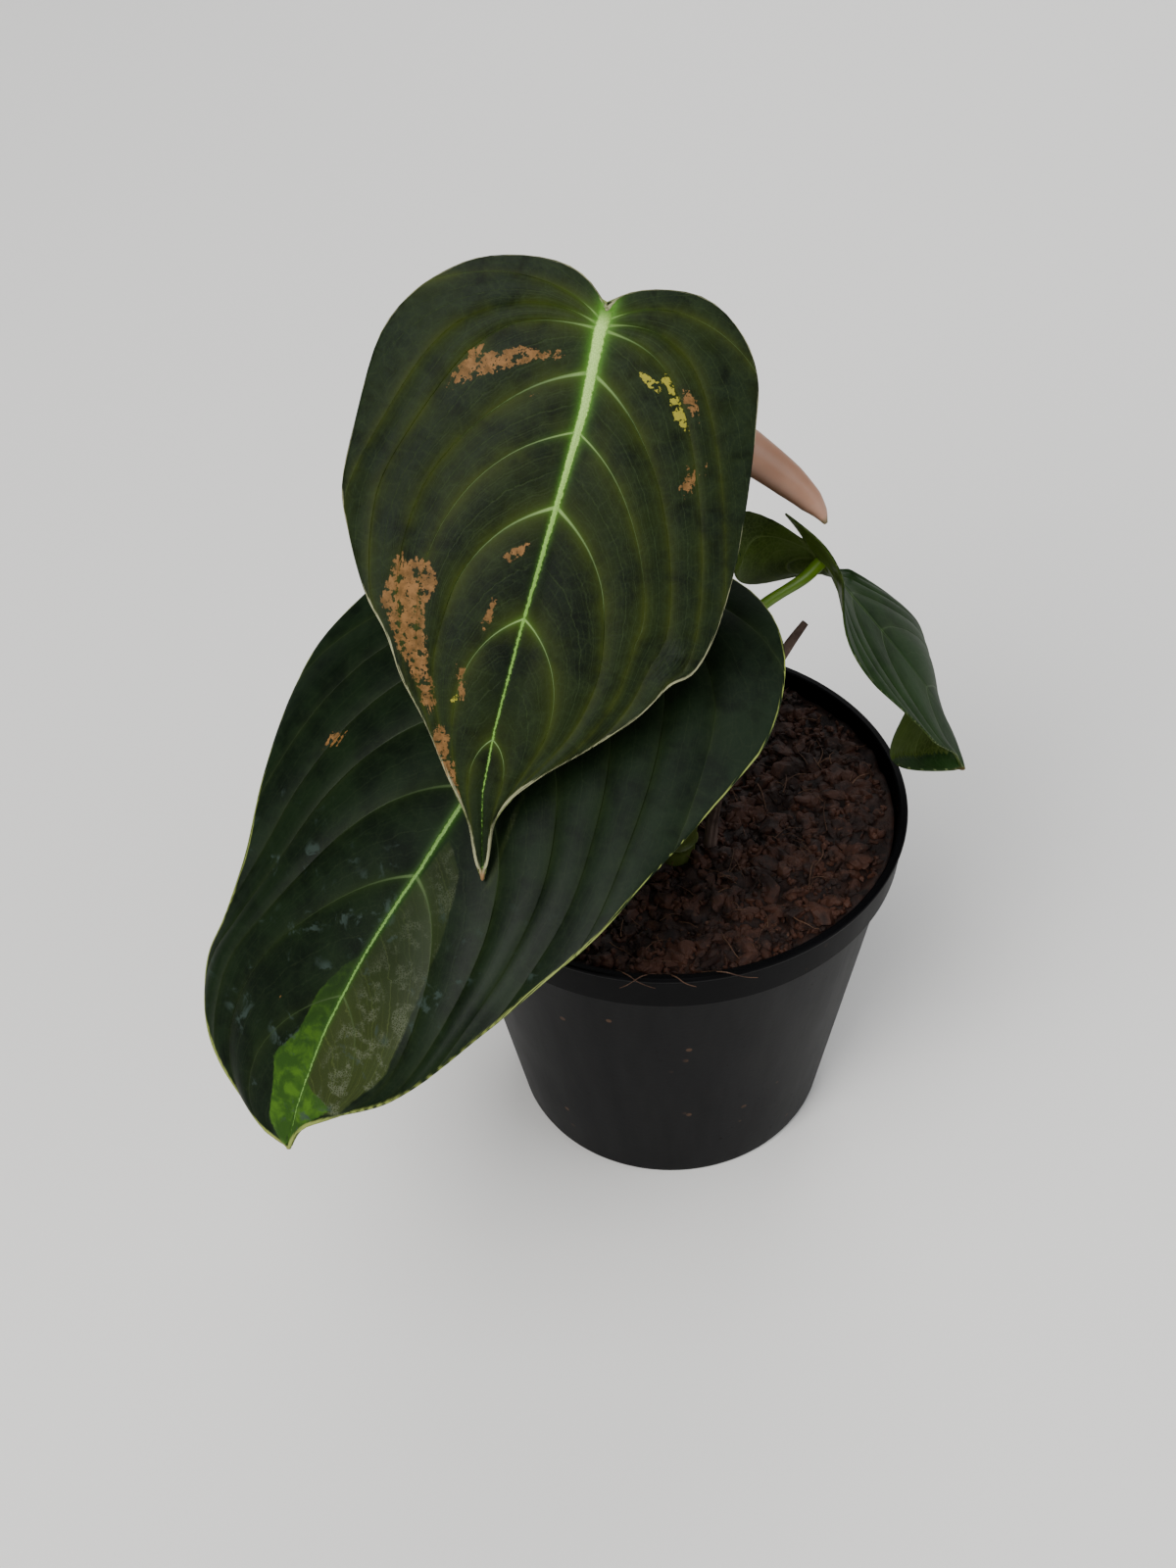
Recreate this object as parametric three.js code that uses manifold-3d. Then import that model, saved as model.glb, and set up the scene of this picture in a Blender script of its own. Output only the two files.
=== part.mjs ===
import * as THREE from 'three';
import { mergeVertices } from 'three/addons/utils/BufferGeometryUtils.js';
import Module from 'manifold-3d';

// A climbing philodendron with heart-shaped velvet leaves, in a 12 cm nursery pot.
// Millimetres, +Z up. The origin is the middle of the pot's flat underside.
// The plant leans towards -Y: its two large leaves hang there, the small one is at +X.

const wasm = await Module();
wasm.setup();

// Pot: thin moulded plastic with a turned-out collar and drain holes in the floor
const potHeight = 100;
const rimRadius = 60;
const footRadius = 41.5;
const collarHeight = 11;
const collarStep = 2.2;
const wall = 1.3;
const bodyRadius = rimRadius - 1.4;
const underCollar = bodyRadius - collarStep;
const collarFoot = potHeight - collarHeight;
const potSides = 64;
const drainHoles = { count: 8, radius: 3.2, ringRadius: 30, sides: 14 };

// Potting mix: chips and fibre, filled to just under the lip
const fit = 0.3;
const mixTop = 96.6;
const mixRelief = 1.5;
const mixRings = 13;
const mixSides = 48;

// Stem, standing in a plain hole in the mix
const stemFoot = [1, -14];
const stemRadius = 5;
const crownRadius = 6.6;
const crownHeight = 111;
const holeFloor = 80;

// Blades
const bladeThickness = 0.7;
const ribDepth = 0.9;
const rowsPerVein = 4;
const columnShares = [0, 0.07, 0.2, 0.35, 0.5, 0.65, 0.8, 0.92, 1];

const rad = THREE.MathUtils.degToRad;
const clamp = THREE.MathUtils.clamp;
const vec = (p) => new THREE.Vector3(...p);

function finish(color, roughness) {
  return new THREE.MeshStandardMaterial({ color, roughness, metalness: 0 });
}

// Value of y at x on the broken line through [x, y] points
function follow(points, x) {
  let i = 1;
  while (i < points.length - 1 && points[i][0] < x) i += 1;
  const [x0, y0] = points[i - 1];
  const [x1, y1] = points[i];
  return y0 + (y1 - y0) * clamp((x - x0) / (x1 - x0), 0, 1);
}

// An indexed closed body; its faces are turned out if they point in
function body(points, faces) {
  const geometry = new THREE.BufferGeometry().setFromPoints(points);
  let volume = 0;
  for (const [a, b, c] of faces) {
    volume += points[a].dot(new THREE.Vector3().crossVectors(points[b], points[c]));
  }
  geometry.setIndex(faces.flatMap(([a, b, c]) => (volume > 0 ? [a, b, c] : [a, c, b])));
  return geometry;
}

// Skin over a stack of rings; a ring of one point is a pole
function loft(rings) {
  const points = rings.flat();
  const faces = [];
  let start = 0;
  for (let r = 0; r < rings.length - 1; r += 1) {
    const low = rings[r].length;
    const high = rings[r + 1].length;
    const next = start + low;
    const sides = Math.max(low, high);
    for (let i = 0; i < sides; i += 1) {
      const j = (i + 1) % sides;
      if (low > 1) faces.push([start + i, start + j, next + (high > 1 ? j : 0)]);
      if (high > 1) faces.push([start + (low > 1 ? i : 0), next + j, next + i]);
    }
    start = next;
  }
  return body(points, faces);
}

function circle(x, y, z, radius, sides, lift = () => 0) {
  return Array.from({ length: sides }, (_, i) => {
    const angle = (2 * Math.PI * i) / sides;
    const px = x + radius * Math.cos(angle);
    const py = y + radius * Math.sin(angle);
    return new THREE.Vector3(px, py, z + lift(px, py));
  });
}

// Tapered round or flattened shoot along a smooth curve; sizes are [share of length, radius]
function shoot(route, sizes, { sides = 10, steps = 16, flatten = 1, section = () => 1 } = {}) {
  const curve = new THREE.CatmullRomCurve3(route.map(vec), false, 'centripetal');
  const frames = curve.computeFrenetFrames(steps);
  const rings = [[curve.getPointAt(0)]];
  for (let s = 0; s <= steps; s += 1) {
    const centre = curve.getPointAt(s / steps);
    const radius = follow(sizes, s / steps);
    rings.push(Array.from({ length: sides }, (_, i) => {
      const angle = (2 * Math.PI * i) / sides;
      const across = radius * section(angle, s / steps);
      return centre.clone()
        .addScaledVector(frames.normals[s], across * Math.cos(angle))
        .addScaledVector(frames.binormals[s], across * flatten * Math.sin(angle));
    }));
  }
  rings.push([curve.getPointAt(1)]);
  return loft(rings);
}

// Pot

// Inner wall from the floor up to the lip, as [radius, height]
const potInside = [
  [footRadius - wall - 1.6, wall], [footRadius - wall, 3.2], [underCollar - wall, collarFoot - 1.6],
  [bodyRadius - wall, collarFoot + 1.2], [rimRadius - 2.3, potHeight - 0.9],
];

function potProfile() {
  return [
    [0, 0], [footRadius - 2, 0], [footRadius, 2],
    [underCollar, collarFoot - 1], [bodyRadius, collarFoot],
    [rimRadius - 0.4, potHeight - 1.4], [rimRadius, potHeight - 0.7], [rimRadius - 0.5, potHeight],
    [rimRadius - 1.7, potHeight], ...potInside.toReversed(), [0, wall],
  ].map(([r, z]) => new THREE.Vector2(r, z));
}

function manifoldOf(geometry) {
  const bare = geometry.clone();
  for (const name of ['normal', 'uv']) bare.deleteAttribute(name);
  const merged = mergeVertices(bare, 1e-4);
  return new wasm.Manifold(new wasm.Mesh({
    numProp: 3,
    vertProperties: new Float32Array(merged.attributes.position.array),
    triVerts: new Uint32Array(merged.index.array),
  }));
}

function geometryOf(solid) {
  const mesh = solid.getMesh();
  const geometry = new THREE.BufferGeometry();
  geometry.setAttribute('position', new THREE.BufferAttribute(mesh.vertProperties, 3));
  geometry.setIndex(new THREE.BufferAttribute(mesh.triVerts, 1));
  return geometry;
}

function pot() {
  const shell = new THREE.LatheGeometry(potProfile(), potSides).rotateX(Math.PI / 2);
  let solid = manifoldOf(shell);
  for (let i = 0; i < drainHoles.count; i += 1) {
    const angle = (2 * Math.PI * (i + 0.5)) / drainHoles.count;
    const drill = new THREE.CylinderGeometry(
      drainHoles.radius, drainHoles.radius, 4 * wall, drainHoles.sides,
    ).rotateX(Math.PI / 2).translate(
      drainHoles.ringRadius * Math.cos(angle), drainHoles.ringRadius * Math.sin(angle), 0,
    );
    solid = solid.subtract(manifoldOf(drill));
  }
  return geometryOf(solid);
}

// Potting mix: a plug that fills the pot, crumbly on top, with the stem's hole

function crumb(x, y) {
  const cell = Math.sin(x * 12.9898 + y * 78.233) * 43758.5453;
  const grain = cell - Math.floor(cell) - 0.5;
  const roll = 0.5 * Math.sin(x / 9 + 1.3) * Math.cos(y / 7.5) + 0.3 * Math.sin((x + y) / 4.1);
  return mixRelief * (grain * 1.3 + roll);
}

function mix() {
  const [sx, sy] = stemFoot;
  const holeRadius = stemRadius + fit + 0.2;
  const inner = (z) => follow(potInside.map(([r, h]) => [h, r]), z) - 1.5 * fit;
  const rings = [[new THREE.Vector3(0, 0, wall + fit)]];
  for (const z of [wall + fit, 3.6, 30, 60, collarFoot - 2.2, collarFoot + 1, mixTop - 2]) {
    rings.push(circle(0, 0, z, inner(z), mixSides));
  }
  for (let r = 1; r <= mixRings; r += 1) {
    const u = r / mixRings;
    const radius = THREE.MathUtils.lerp(inner(mixTop) - 1.2, holeRadius, (r - 1) / (mixRings - 1));
    const settle = r === mixRings ? 0.2 : 1;
    rings.push(circle(sx * u, sy * u, mixTop - 0.9 + 0.9 * Math.min(1, 3 * u), radius, mixSides,
      (x, y) => settle * crumb(x, y)));
  }
  rings.push(circle(sx, sy, holeFloor, holeRadius, mixSides));
  rings.push([new THREE.Vector3(sx, sy, holeFloor)]);
  return loft(rings);
}

// Stem: short and stout, widest at the crown where the leaf stalks leave it

function stem() {
  const [x, y] = stemFoot;
  const sides = 16;
  const ring = (z, radius) => circle(x + (z - mixTop) / 30, y + (z - mixTop) / 16, z, radius, sides);
  const top = ring(crownHeight, crownRadius - 0.5);
  return loft([
    [new THREE.Vector3(x, y - 0.7, holeFloor + fit)],
    circle(x, y, holeFloor + fit, stemRadius - 1, sides),
    circle(x, y, holeFloor + 4, stemRadius, sides),
    circle(x, y, mixTop, stemRadius, sides),
    ring(99, stemRadius + 0.1), ring(100.5, stemRadius + 0.7), ring(102, stemRadius + 0.2),
    ring(107, crownRadius - 0.4), ring(109.5, crownRadius), top,
    [top.reduce((sum, p) => sum.add(p), new THREE.Vector3()).divideScalar(sides)],
  ]);
}

// Blades. A blade is drawn flat first: x across, y from the stalk's joint to the tip.
// Its outline runs from the notch between the lobes round each side to the tip.
// Each vein leaves the midrib on the straight rib at one share of the outline and
// sweeps forward to meet the margin at a larger share, so that veins never cross.

class Outline {
  constructor(notch, points, tip) {
    const flat = [notch, ...points, tip].map(([x, y]) => new THREE.Vector3(x, y, 0));
    this.curve = new THREE.CatmullRomCurve3(flat, false, 'centripetal');
    this.curve.arcLengthDivisions = 600;
  }

  at(share) {
    return this.curve.getPointAt(clamp(share, 0, 1));
  }
}

function flatPoint(leaf, outline, k, t) {
  const veins = leaf.veins.map((vein, i) => [i, vein]);
  const leave = follow(veins.map(([i, v]) => [i, v[0]]), k);
  const arrive = follow(veins.map(([i, v]) => [i, v[1]]), k);
  const sweep = t ** leaf.sweep;
  const share = leave * (1 - sweep) + arrive * sweep;
  const rootY = follow(leaf.ribs, share);
  const root = new THREE.Vector3(follow(leaf.midrib, rootY), rootY, 0);
  return root.lerp(outline.at(share), t);
}

// Relief: veins lie in sharp furrows, the blade swells between them, the edge waves a little
function relief(leaf, k, t) {
  const i = Math.min(Math.floor(k), leaf.veins.length - 2);
  const f = k - i;
  const furrow = leaf.veins[i][2] * (1 - f) ** 2.2 + leaf.veins[i + 1][2] * f ** 2.2;
  const strength = clamp(t / 0.3, 0, 1) * (1 - 0.75 * clamp((t - 0.6) / 0.4, 0, 1));
  const edge = leaf.wave * Math.sin(2.4 * k + 0.7) * t ** 4;
  return leaf.relief * strength * (0.45 - furrow) + edge;
}

// From the flat drawing to the hanging blade: the midrib bends down to the tip and over the
// lobes, each half folds and curls about it, and the whole blade may twist along its length
function hang(leaf, x, y, height) {
  const ahead = y >= 0;
  const bend = rad(ahead ? leaf.tipBend : leaf.lobeBend);
  const power = ahead ? leaf.bendPower : 1.5;
  const reach = ahead ? leaf.length : leaf.lobeLength;
  const u = Math.abs(y) / reach;
  const turn = (ahead ? 1 : -1) * bend * u ** power;
  const run = (ahead ? 1 : -1) * reach * (u - (bend ** 2 * u ** (2 * power + 1)) / (4 * power + 2)
    + (bend ** 4 * u ** (4 * power + 1)) / (24 * (4 * power + 1)));
  const drop = reach * ((bend * u ** (power + 1)) / (power + 1)
    - (bend ** 3 * u ** (3 * power + 1)) / (6 * (3 * power + 1)));
  const side = x >= 0 ? 0 : 1;
  const lift = rad(leaf.fold[side]
    + leaf.tipFold[side] * clamp(y / leaf.length, 0, 1) ** leaf.tipFoldPower
    + leaf.lobeFold[side] * clamp((leaf.lobeStart[side] - y) / leaf.lobeLength, 0, 1)
    + (leaf.curl[side] * Math.abs(x)) / leaf.halfWidth / 2);
  const out = x * Math.cos(lift);
  const up = Math.abs(x) * Math.sin(lift) + height;
  const twist = rad(leaf.twist[0]) * Math.tanh((y - leaf.twist[1]) / leaf.twist[2]);
  const across = out * Math.cos(twist) - up * Math.sin(twist);
  const above = out * Math.sin(twist) + up * Math.cos(twist);
  const along = vec(leaf.toTip).normalize();
  const face = vec(leaf.face);
  face.addScaledVector(along, -face.dot(along)).normalize();
  const sideways = new THREE.Vector3().crossVectors(along, face);
  return vec(leaf.hub)
    .addScaledVector(sideways, across)
    .addScaledVector(along, run + above * Math.sin(turn))
    .addScaledVector(face, -drop + above * Math.cos(turn));
}

function blade(leaf) {
  const intervals = leaf.veins.length - 1;
  const rows = intervals * rowsPerVein;
  const [notch, tip] = [leaf.midrib[0], leaf.midrib.at(-1)].map(([y, x]) => [x, y]);
  const halves = [new Outline(notch, leaf.right, tip), new Outline(notch, leaf.left, tip)];
  const columns = columnShares.length - 1;
  const grid = [];
  for (let r = 0; r <= rows; r += 1) {
    const k = r / rowsPerVein;
    const pole = r === 0 || r === rows;
    const row = [];
    for (let c = -columns; c <= columns; c += 1) {
      if (pole && c !== 0) continue;
      const t = columnShares[Math.abs(c)];
      const flat = flatPoint(leaf, halves[c < 0 ? 0 : 1], k, t);
      row.push({ flat, t, place: hang(leaf, flat.x, flat.y, relief(leaf, k, t)) });
    }
    grid.push(row);
  }
  const cells = grid.flat();
  const width = 2 * columns + 1;
  const index = (r, c) => (r === 0 ? 0 : r === rows ? cells.length - 1 : 1 + (r - 1) * width + c);
  const skin = [];
  for (let r = 0; r < rows; r += 1) {
    for (let c = 0; c < width - 1; c += 1) {
      const [a, b, d, e] = [index(r, c), index(r, c + 1), index(r + 1, c), index(r + 1, c + 1)];
      if (a !== b) skin.push([a, b, c < columns ? e : d]);
      if (d !== e) skin.push(c < columns ? [a, e, d] : [b, e, d]);
    }
  }
  const middle = new THREE.BufferGeometry().setFromPoints(cells.map((cell) => cell.place));
  middle.setIndex(skin.flat());
  middle.computeVertexNormals();
  const normals = middle.attributes.normal;
  const count = cells.length;
  const points = [];
  for (const sign of [1, -1]) {
    cells.forEach(({ flat, t, place }, i) => {
      const normal = new THREE.Vector3().fromBufferAttribute(normals, i);
      const upper = normal.dot(hang(leaf, flat.x, flat.y, 1).sub(hang(leaf, flat.x, flat.y, 0)));
      const rib = sign < 0 && t === 0 ? ribDepth * (1 - clamp(flat.y / leaf.length, 0, 1)) : 0;
      const offset = sign * (bladeThickness / 2 + rib) * Math.sign(upper);
      points.push(place.clone().addScaledVector(normal, offset));
    });
  }
  const faces = skin.concat(skin.map(([a, b, c]) => [a + count, c + count, b + count]));
  for (const c of [0, width - 1]) {
    for (let r = 0; r < rows; r += 1) {
      const a = index(r, c);
      const b = index(r + 1, c);
      const quad = [[a, b, b + count], [a, b + count, a + count]];
      faces.push(...(c === 0 ? quad : quad.map(([p, q, s]) => [p, s, q])));
    }
  }
  return body(points, faces);
}

// Under the joint, where a stalk ends, just clear of the blade's rib; aside is towards +x
function underHub(leaf, distance, aside = 0) {
  const along = vec(leaf.toTip).normalize();
  const face = vec(leaf.face);
  face.addScaledVector(along, -face.dot(along)).normalize();
  const sideways = new THREE.Vector3().crossVectors(along, face);
  return vec(leaf.hub).addScaledVector(face, -distance).addScaledVector(sideways, aside).toArray();
}

const flatLeaf = {
  tipBend: 0, bendPower: 2, lobeBend: 0, lobeLength: 20, fold: [0, 0], curl: [0, 0],
  twist: [0, 0, 1], tipFold: [0, 0], tipFoldPower: 3, lobeFold: [0, 0], lobeStart: [0, 0], sweep: 2.1,
};

// The upper front leaf, which hangs with its face to the front
const frontLeaf = {
  ...flatLeaf,
  hub: [-12.8, -9.2, 241.8],
  toTip: [-0.26, -0.6, -0.76],
  face: [-0.02, -0.78, 0.63],
  length: 116,
  halfWidth: 42,
  tipBend: 14,
  lobeBend: 20,
  lobeLength: 16,
  fold: [4, 4],
  curl: [-22, -22],
  relief: 1.1,
  wave: 0.5,
  sweep: 2.4,
  midrib: [[-4.5, -0.5], [0, 0], [16, -0.2], [44, 1.7], [62, 3], [84, 4.1], [97.7, 3.9],
    [110.5, 1.5], [116.5, 0.2]],
  left: [[4.2, -9.3], [8.9, -11.4], [16.9, -11.8], [27.5, -9.5], [34.3, -5.2], [40.1, 0.7],
    [44.5, 8.9], [46.3, 27.8], [46.2, 42], [42.7, 50.7], [35.9, 62.9], [30.5, 69.2], [25.3, 77.8],
    [18.3, 86.2], [11, 96.7], [5.9, 104], [2.4, 112.4]],
  right: [[-2.8, -7.8], [-10.6, -10.7], [-20, -10.9], [-28.5, -5.6], [-33.4, 2], [-35.4, 12.5],
    [-37.3, 32.9], [-37.2, 49.2], [-35.4, 60], [-33.2, 64.6], [-29.8, 67.1], [-24.4, 75.1],
    [-15.8, 84], [-7.4, 91.5], [-2.3, 97.7], [0.2, 103.6], [0, 111.5]],
  // Straight ribs of the drawing: [share of the outline, y on the midrib]
  ribs: [[0, -4.5], [0.1, -1.5], [0.3, 0], [0.36, 3], [0.5, 22], [0.6, 38], [0.72, 60], [0.85, 86],
    [1, 116.5]],
  // Veins: [share where it leaves, share where it arrives, depth of its furrow]
  veins: [[0, 0, 0], [0.09, 0.24, 0.5], [0.165, 0.53, 1], [0.25, 0.66, 0.9], [0.4, 0.77, 1],
    [0.49, 0.84, 0.35], [0.59, 0.91, 0.9], [0.72, 0.95, 0.35], [0.85, 0.98, 0.3], [1, 1, 0]],
};

// The large low leaf, which arches out to the left and front over the pot's lip
const lowLeaf = {
  ...flatLeaf,
  hub: [-16.1, -18.9, 176.7],
  toTip: [-0.6, -0.7, -0.39],
  face: [-0.22, -0.32, 0.92],
  length: 140,
  halfWidth: 50,
  tipBend: 38,
  bendPower: 1.6,
  lobeBend: 25,
  lobeLength: 22,
  fold: [0, 2],
  curl: [-14, -16],
  relief: 1.3,
  wave: 0.7,
  midrib: [[-7, -0.5], [0, 0], [50, 0.4], [68, 0.8], [90, 2.8], [110, 3.7], [128, 3.2], [138, 1.8]],
  left: [[5, -15], [18, -21], [34, -18], [48, -5], [57.5, 16], [61.5, 33], [59.8, 46], [51, 70.7],
    [45, 86], [43, 102], [42.8, 111], [38.8, 119.5], [30.3, 129], [20.2, 134.8], [10, 137.4]],
  right: [[-5, -15], [-12, -21.5], [-21.9, -23.3], [-31.2, -21.2], [-39.7, -15.1], [-46, -4.8],
    [-49.2, 7.4], [-48.3, 18.5], [-44.5, 45.4], [-41.8, 61.8], [-36.9, 75.5], [-30, 91.7],
    [-19.1, 113.4], [-5.7, 126], [0, 132]],
  ribs: [[0, -7], [0.1, -2], [0.26, 0], [0.34, 6], [0.44, 22], [0.55, 42], [0.68, 66], [0.82, 96],
    [1, 138]],
  veins: [[0, 0, 0], [0.1, 0.26, 0.8], [0.18, 0.48, 1], [0.27, 0.62, 1], [0.37, 0.73, 1],
    [0.47, 0.81, 1], [0.58, 0.88, 1], [0.7, 0.93, 0.8], [0.84, 0.97, 0.5], [1, 1, 0]],
};

// The small leaf at the right, turned away and twisted, with its tip folded like a keel
const sideLeaf = {
  ...flatLeaf,
  hub: [38, 12.6, 163.3],
  toTip: [0.62, -0.31, -0.72],
  face: [0.78, 0.39, 0.5],
  length: 64,
  halfWidth: 25,
  tipBend: 30,
  bendPower: 4,
  lobeBend: 0,
  lobeLength: 25,
  fold: [2, 4],
  curl: [0, -20],
  twist: [-31, 1, 10],
  tipFold: [0, -175],
  tipFoldPower: 8,
  lobeFold: [-45, -80],
  lobeStart: [2, 10],
  relief: 0.7,
  wave: 0.3,
  midrib: [[-5, 0], [0, 0], [64, 0]],
  left: [[2, -10], [5, -15], [8, -16], [11, -10], [15, -1], [20, 9], [22, 22], [19, 37], [13, 50],
    [5, 58]],
  right: [[-2, -13], [-7, -22], [-13, -24], [-18, -14], [-15, 0], [-15, 12], [-24, 28], [-31, 42],
    [-20, 57]],
  ribs: [[0, -5], [0.1, -2], [0.28, 0], [0.36, 4], [0.5, 14], [0.65, 27], [0.8, 43], [1, 64]],
  veins: [[0, 0, 0], [0.12, 0.3, 0.6], [0.24, 0.58, 1], [0.34, 0.72, 1], [0.46, 0.82, 1],
    [0.6, 0.9, 0.8], [0.78, 0.96, 0.5], [1, 1, 0]],
};

// Stalks: they leave the crown side by side and end square to their blades
const stalkGap = bladeThickness / 2 + ribDepth + 0.6;
const stalkFoot = crownHeight + 2 * fit;
const stalkSizes = [[0, 2.3], [0.2, 1.9], [0.85, 1.3], [1, 1.6]];

const stalks = {
  stalk_front: [[-1.1, -10.4, stalkFoot], [-1.1, -10.2, 116], [-2, -4, 140], [-3, 2, 170], [-6, 6, 195],
    [-13, 6, 218], [-14.5, 2.6, 231], underHub(frontLeaf, 5), underHub(frontLeaf, stalkGap)],
  stalk_low: [[-1.1, -15.6, stalkFoot], [-1.1, -15.7, 116], [-4, -15, 138], [-9.5, -14.5, 158],
    underHub(lowLeaf, 6), underHub(lowLeaf, stalkGap)],
  stalk_side: [[4.1, -10.4, stalkFoot], [4.1, -10.3, 116], [7.5, -5.5, 136], [14, 0.5, 150],
    [23.3, 5.8, 156.2], underHub(sideLeaf, 5.6, 1.4), underHub(sideLeaf, stalkGap + 0.6, 1.4)],
  stalk_new: [[4.1, -15.6, stalkFoot], [4.1, -15.5, 116], [5.6, -9, 142], [4.6, 2, 170], [1.5, 9.5, 192],
    [-6.5, 13.2, 206.5], [-9.4, 14.2, 210.6], [-7.6, 14.3, 212.7], [-4.9, 13.7, 211.4]],
};

// The newest leaf, still rolled in a spindle that nods to the right, with a hooked tip
function rolledLeaf() {
  const route = [[-4.5, 13.6, 211.2], [8, 11.8, 205.2], [20.6, 9.4, 196.6], [30.2, 7, 188.9],
    [35.3, 5.2, 183.6], [37, 4.2, 180.6]];
  const sizes = [[0, 1.5], [0.12, 3.1], [0.3, 4.8], [0.52, 4.7], [0.75, 3.8], [0.88, 2.8], [0.95, 1.6],
    [1, 0.5]];
  const seam = rad(200);
  const overlap = (angle) => 1 + 0.09 * (1 - ((angle - seam + 4 * Math.PI) % (2 * Math.PI)) / Math.PI);
  return shoot(route, sizes, { sides: 18, steps: 22, section: overlap });
}

// Dried sheath of an older leaf: a thin folded strip that stands on the mix and leans out beside the crown
function drySheath() {
  const route = [[9.6, -13.7, mixTop + 0.9], [10, -13.2, 101], [10.8, -12, 108], [14.4, -7.8, 122],
    [22, -2.6, 137], [29, 2, 146.4], [33.4, 4.3, 151.7]];
  const sizes = [[0, 1.7], [0.3, 1.6], [0.8, 1.4], [1, 0.9]];
  return shoot(route, sizes, { sides: 8, steps: 18, flatten: 0.55 });
}

const plant = new THREE.Group();

function add(name, geometry, material) {
  const mesh = new THREE.Mesh(geometry, material);
  mesh.name = name;
  plant.add(mesh);
}

const stalkGreen = finish(0x7fae2c, 0.5);
add('pot', pot(), finish(0x141416, 0.45));
add('potting_mix', mix(), finish(0x4a3024, 0.95));
add('stem', stem(), finish(0x8d9c34, 0.55));
add('leaf_front', blade(frontLeaf), finish(0x2d3b24, 0.6));
add('leaf_low', blade(lowLeaf), finish(0x1c2f1d, 0.45));
add('leaf_side', blade(sideLeaf), finish(0x3c5a35, 0.6));
for (const [name, route] of Object.entries(stalks)) {
  add(name, shoot(route, stalkSizes, { steps: name === 'stalk_new' ? 26 : 18 }), stalkGreen);
}
add('leaf_new_rolled', rolledLeaf(), finish(0xc98a72, 0.5));
add('sheath_dry', drySheath(), finish(0x8a6a5c, 0.8));

export default plant;
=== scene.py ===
import math
import bpy
import numpy as np
from mathutils import Matrix, Vector


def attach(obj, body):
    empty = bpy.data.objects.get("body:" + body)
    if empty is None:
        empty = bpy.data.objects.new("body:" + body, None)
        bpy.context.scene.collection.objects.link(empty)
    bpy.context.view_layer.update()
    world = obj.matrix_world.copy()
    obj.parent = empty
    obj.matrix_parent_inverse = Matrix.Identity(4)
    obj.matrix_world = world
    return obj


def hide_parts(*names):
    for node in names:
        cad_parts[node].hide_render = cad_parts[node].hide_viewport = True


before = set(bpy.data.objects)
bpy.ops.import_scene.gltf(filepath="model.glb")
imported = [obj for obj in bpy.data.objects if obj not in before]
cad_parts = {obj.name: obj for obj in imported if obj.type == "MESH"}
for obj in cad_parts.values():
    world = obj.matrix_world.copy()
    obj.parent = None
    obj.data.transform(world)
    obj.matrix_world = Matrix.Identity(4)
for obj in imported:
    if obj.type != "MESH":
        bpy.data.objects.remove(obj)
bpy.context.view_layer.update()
print("frame loaded:", len(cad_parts), "nodes")

mm = 0.001


# shader maths: a value that can be added, multiplied and compared like a number
class Value:
    def __init__(self, tree, socket):
        self.tree = tree
        self.socket = socket

    def maths(self, operation, *others, swap=False):
        node = self.tree.nodes.new("ShaderNodeMath")
        node.operation = operation
        terms = [self, *others]
        if swap:
            terms.reverse()
        for slot, term in zip(node.inputs, terms):
            if isinstance(term, Value):
                self.tree.links.new(term.socket, slot)
            else:
                slot.default_value = term
        return Value(self.tree, node.outputs[0])

    def __add__(self, other):
        return self.maths("ADD", other)

    def __sub__(self, other):
        return self.maths("SUBTRACT", other)

    def __rsub__(self, other):
        return self.maths("SUBTRACT", other, swap=True)

    def __mul__(self, other):
        return self.maths("MULTIPLY", other)

    def __truediv__(self, other):
        return self.maths("DIVIDE", other)

    def __rtruediv__(self, other):
        return self.maths("DIVIDE", other, swap=True)

    __radd__, __rmul__ = __add__, __mul__

    def least(self, other):
        return self.maths("MINIMUM", other)

    def most(self, other):
        return self.maths("MAXIMUM", other)

    # 0 below low, 1 above high, and the other way round where low is above high
    def ramp(self, low, high):
        t = ((self - low) / (high - low)).most(0.0).least(1.0)
        return t * t * (3.0 - 2.0 * t)

    # 1 at zero, falling away over the given reach
    def fade(self, reach):
        return (self * (-1.0 / reach)).maths("EXPONENT")


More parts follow.
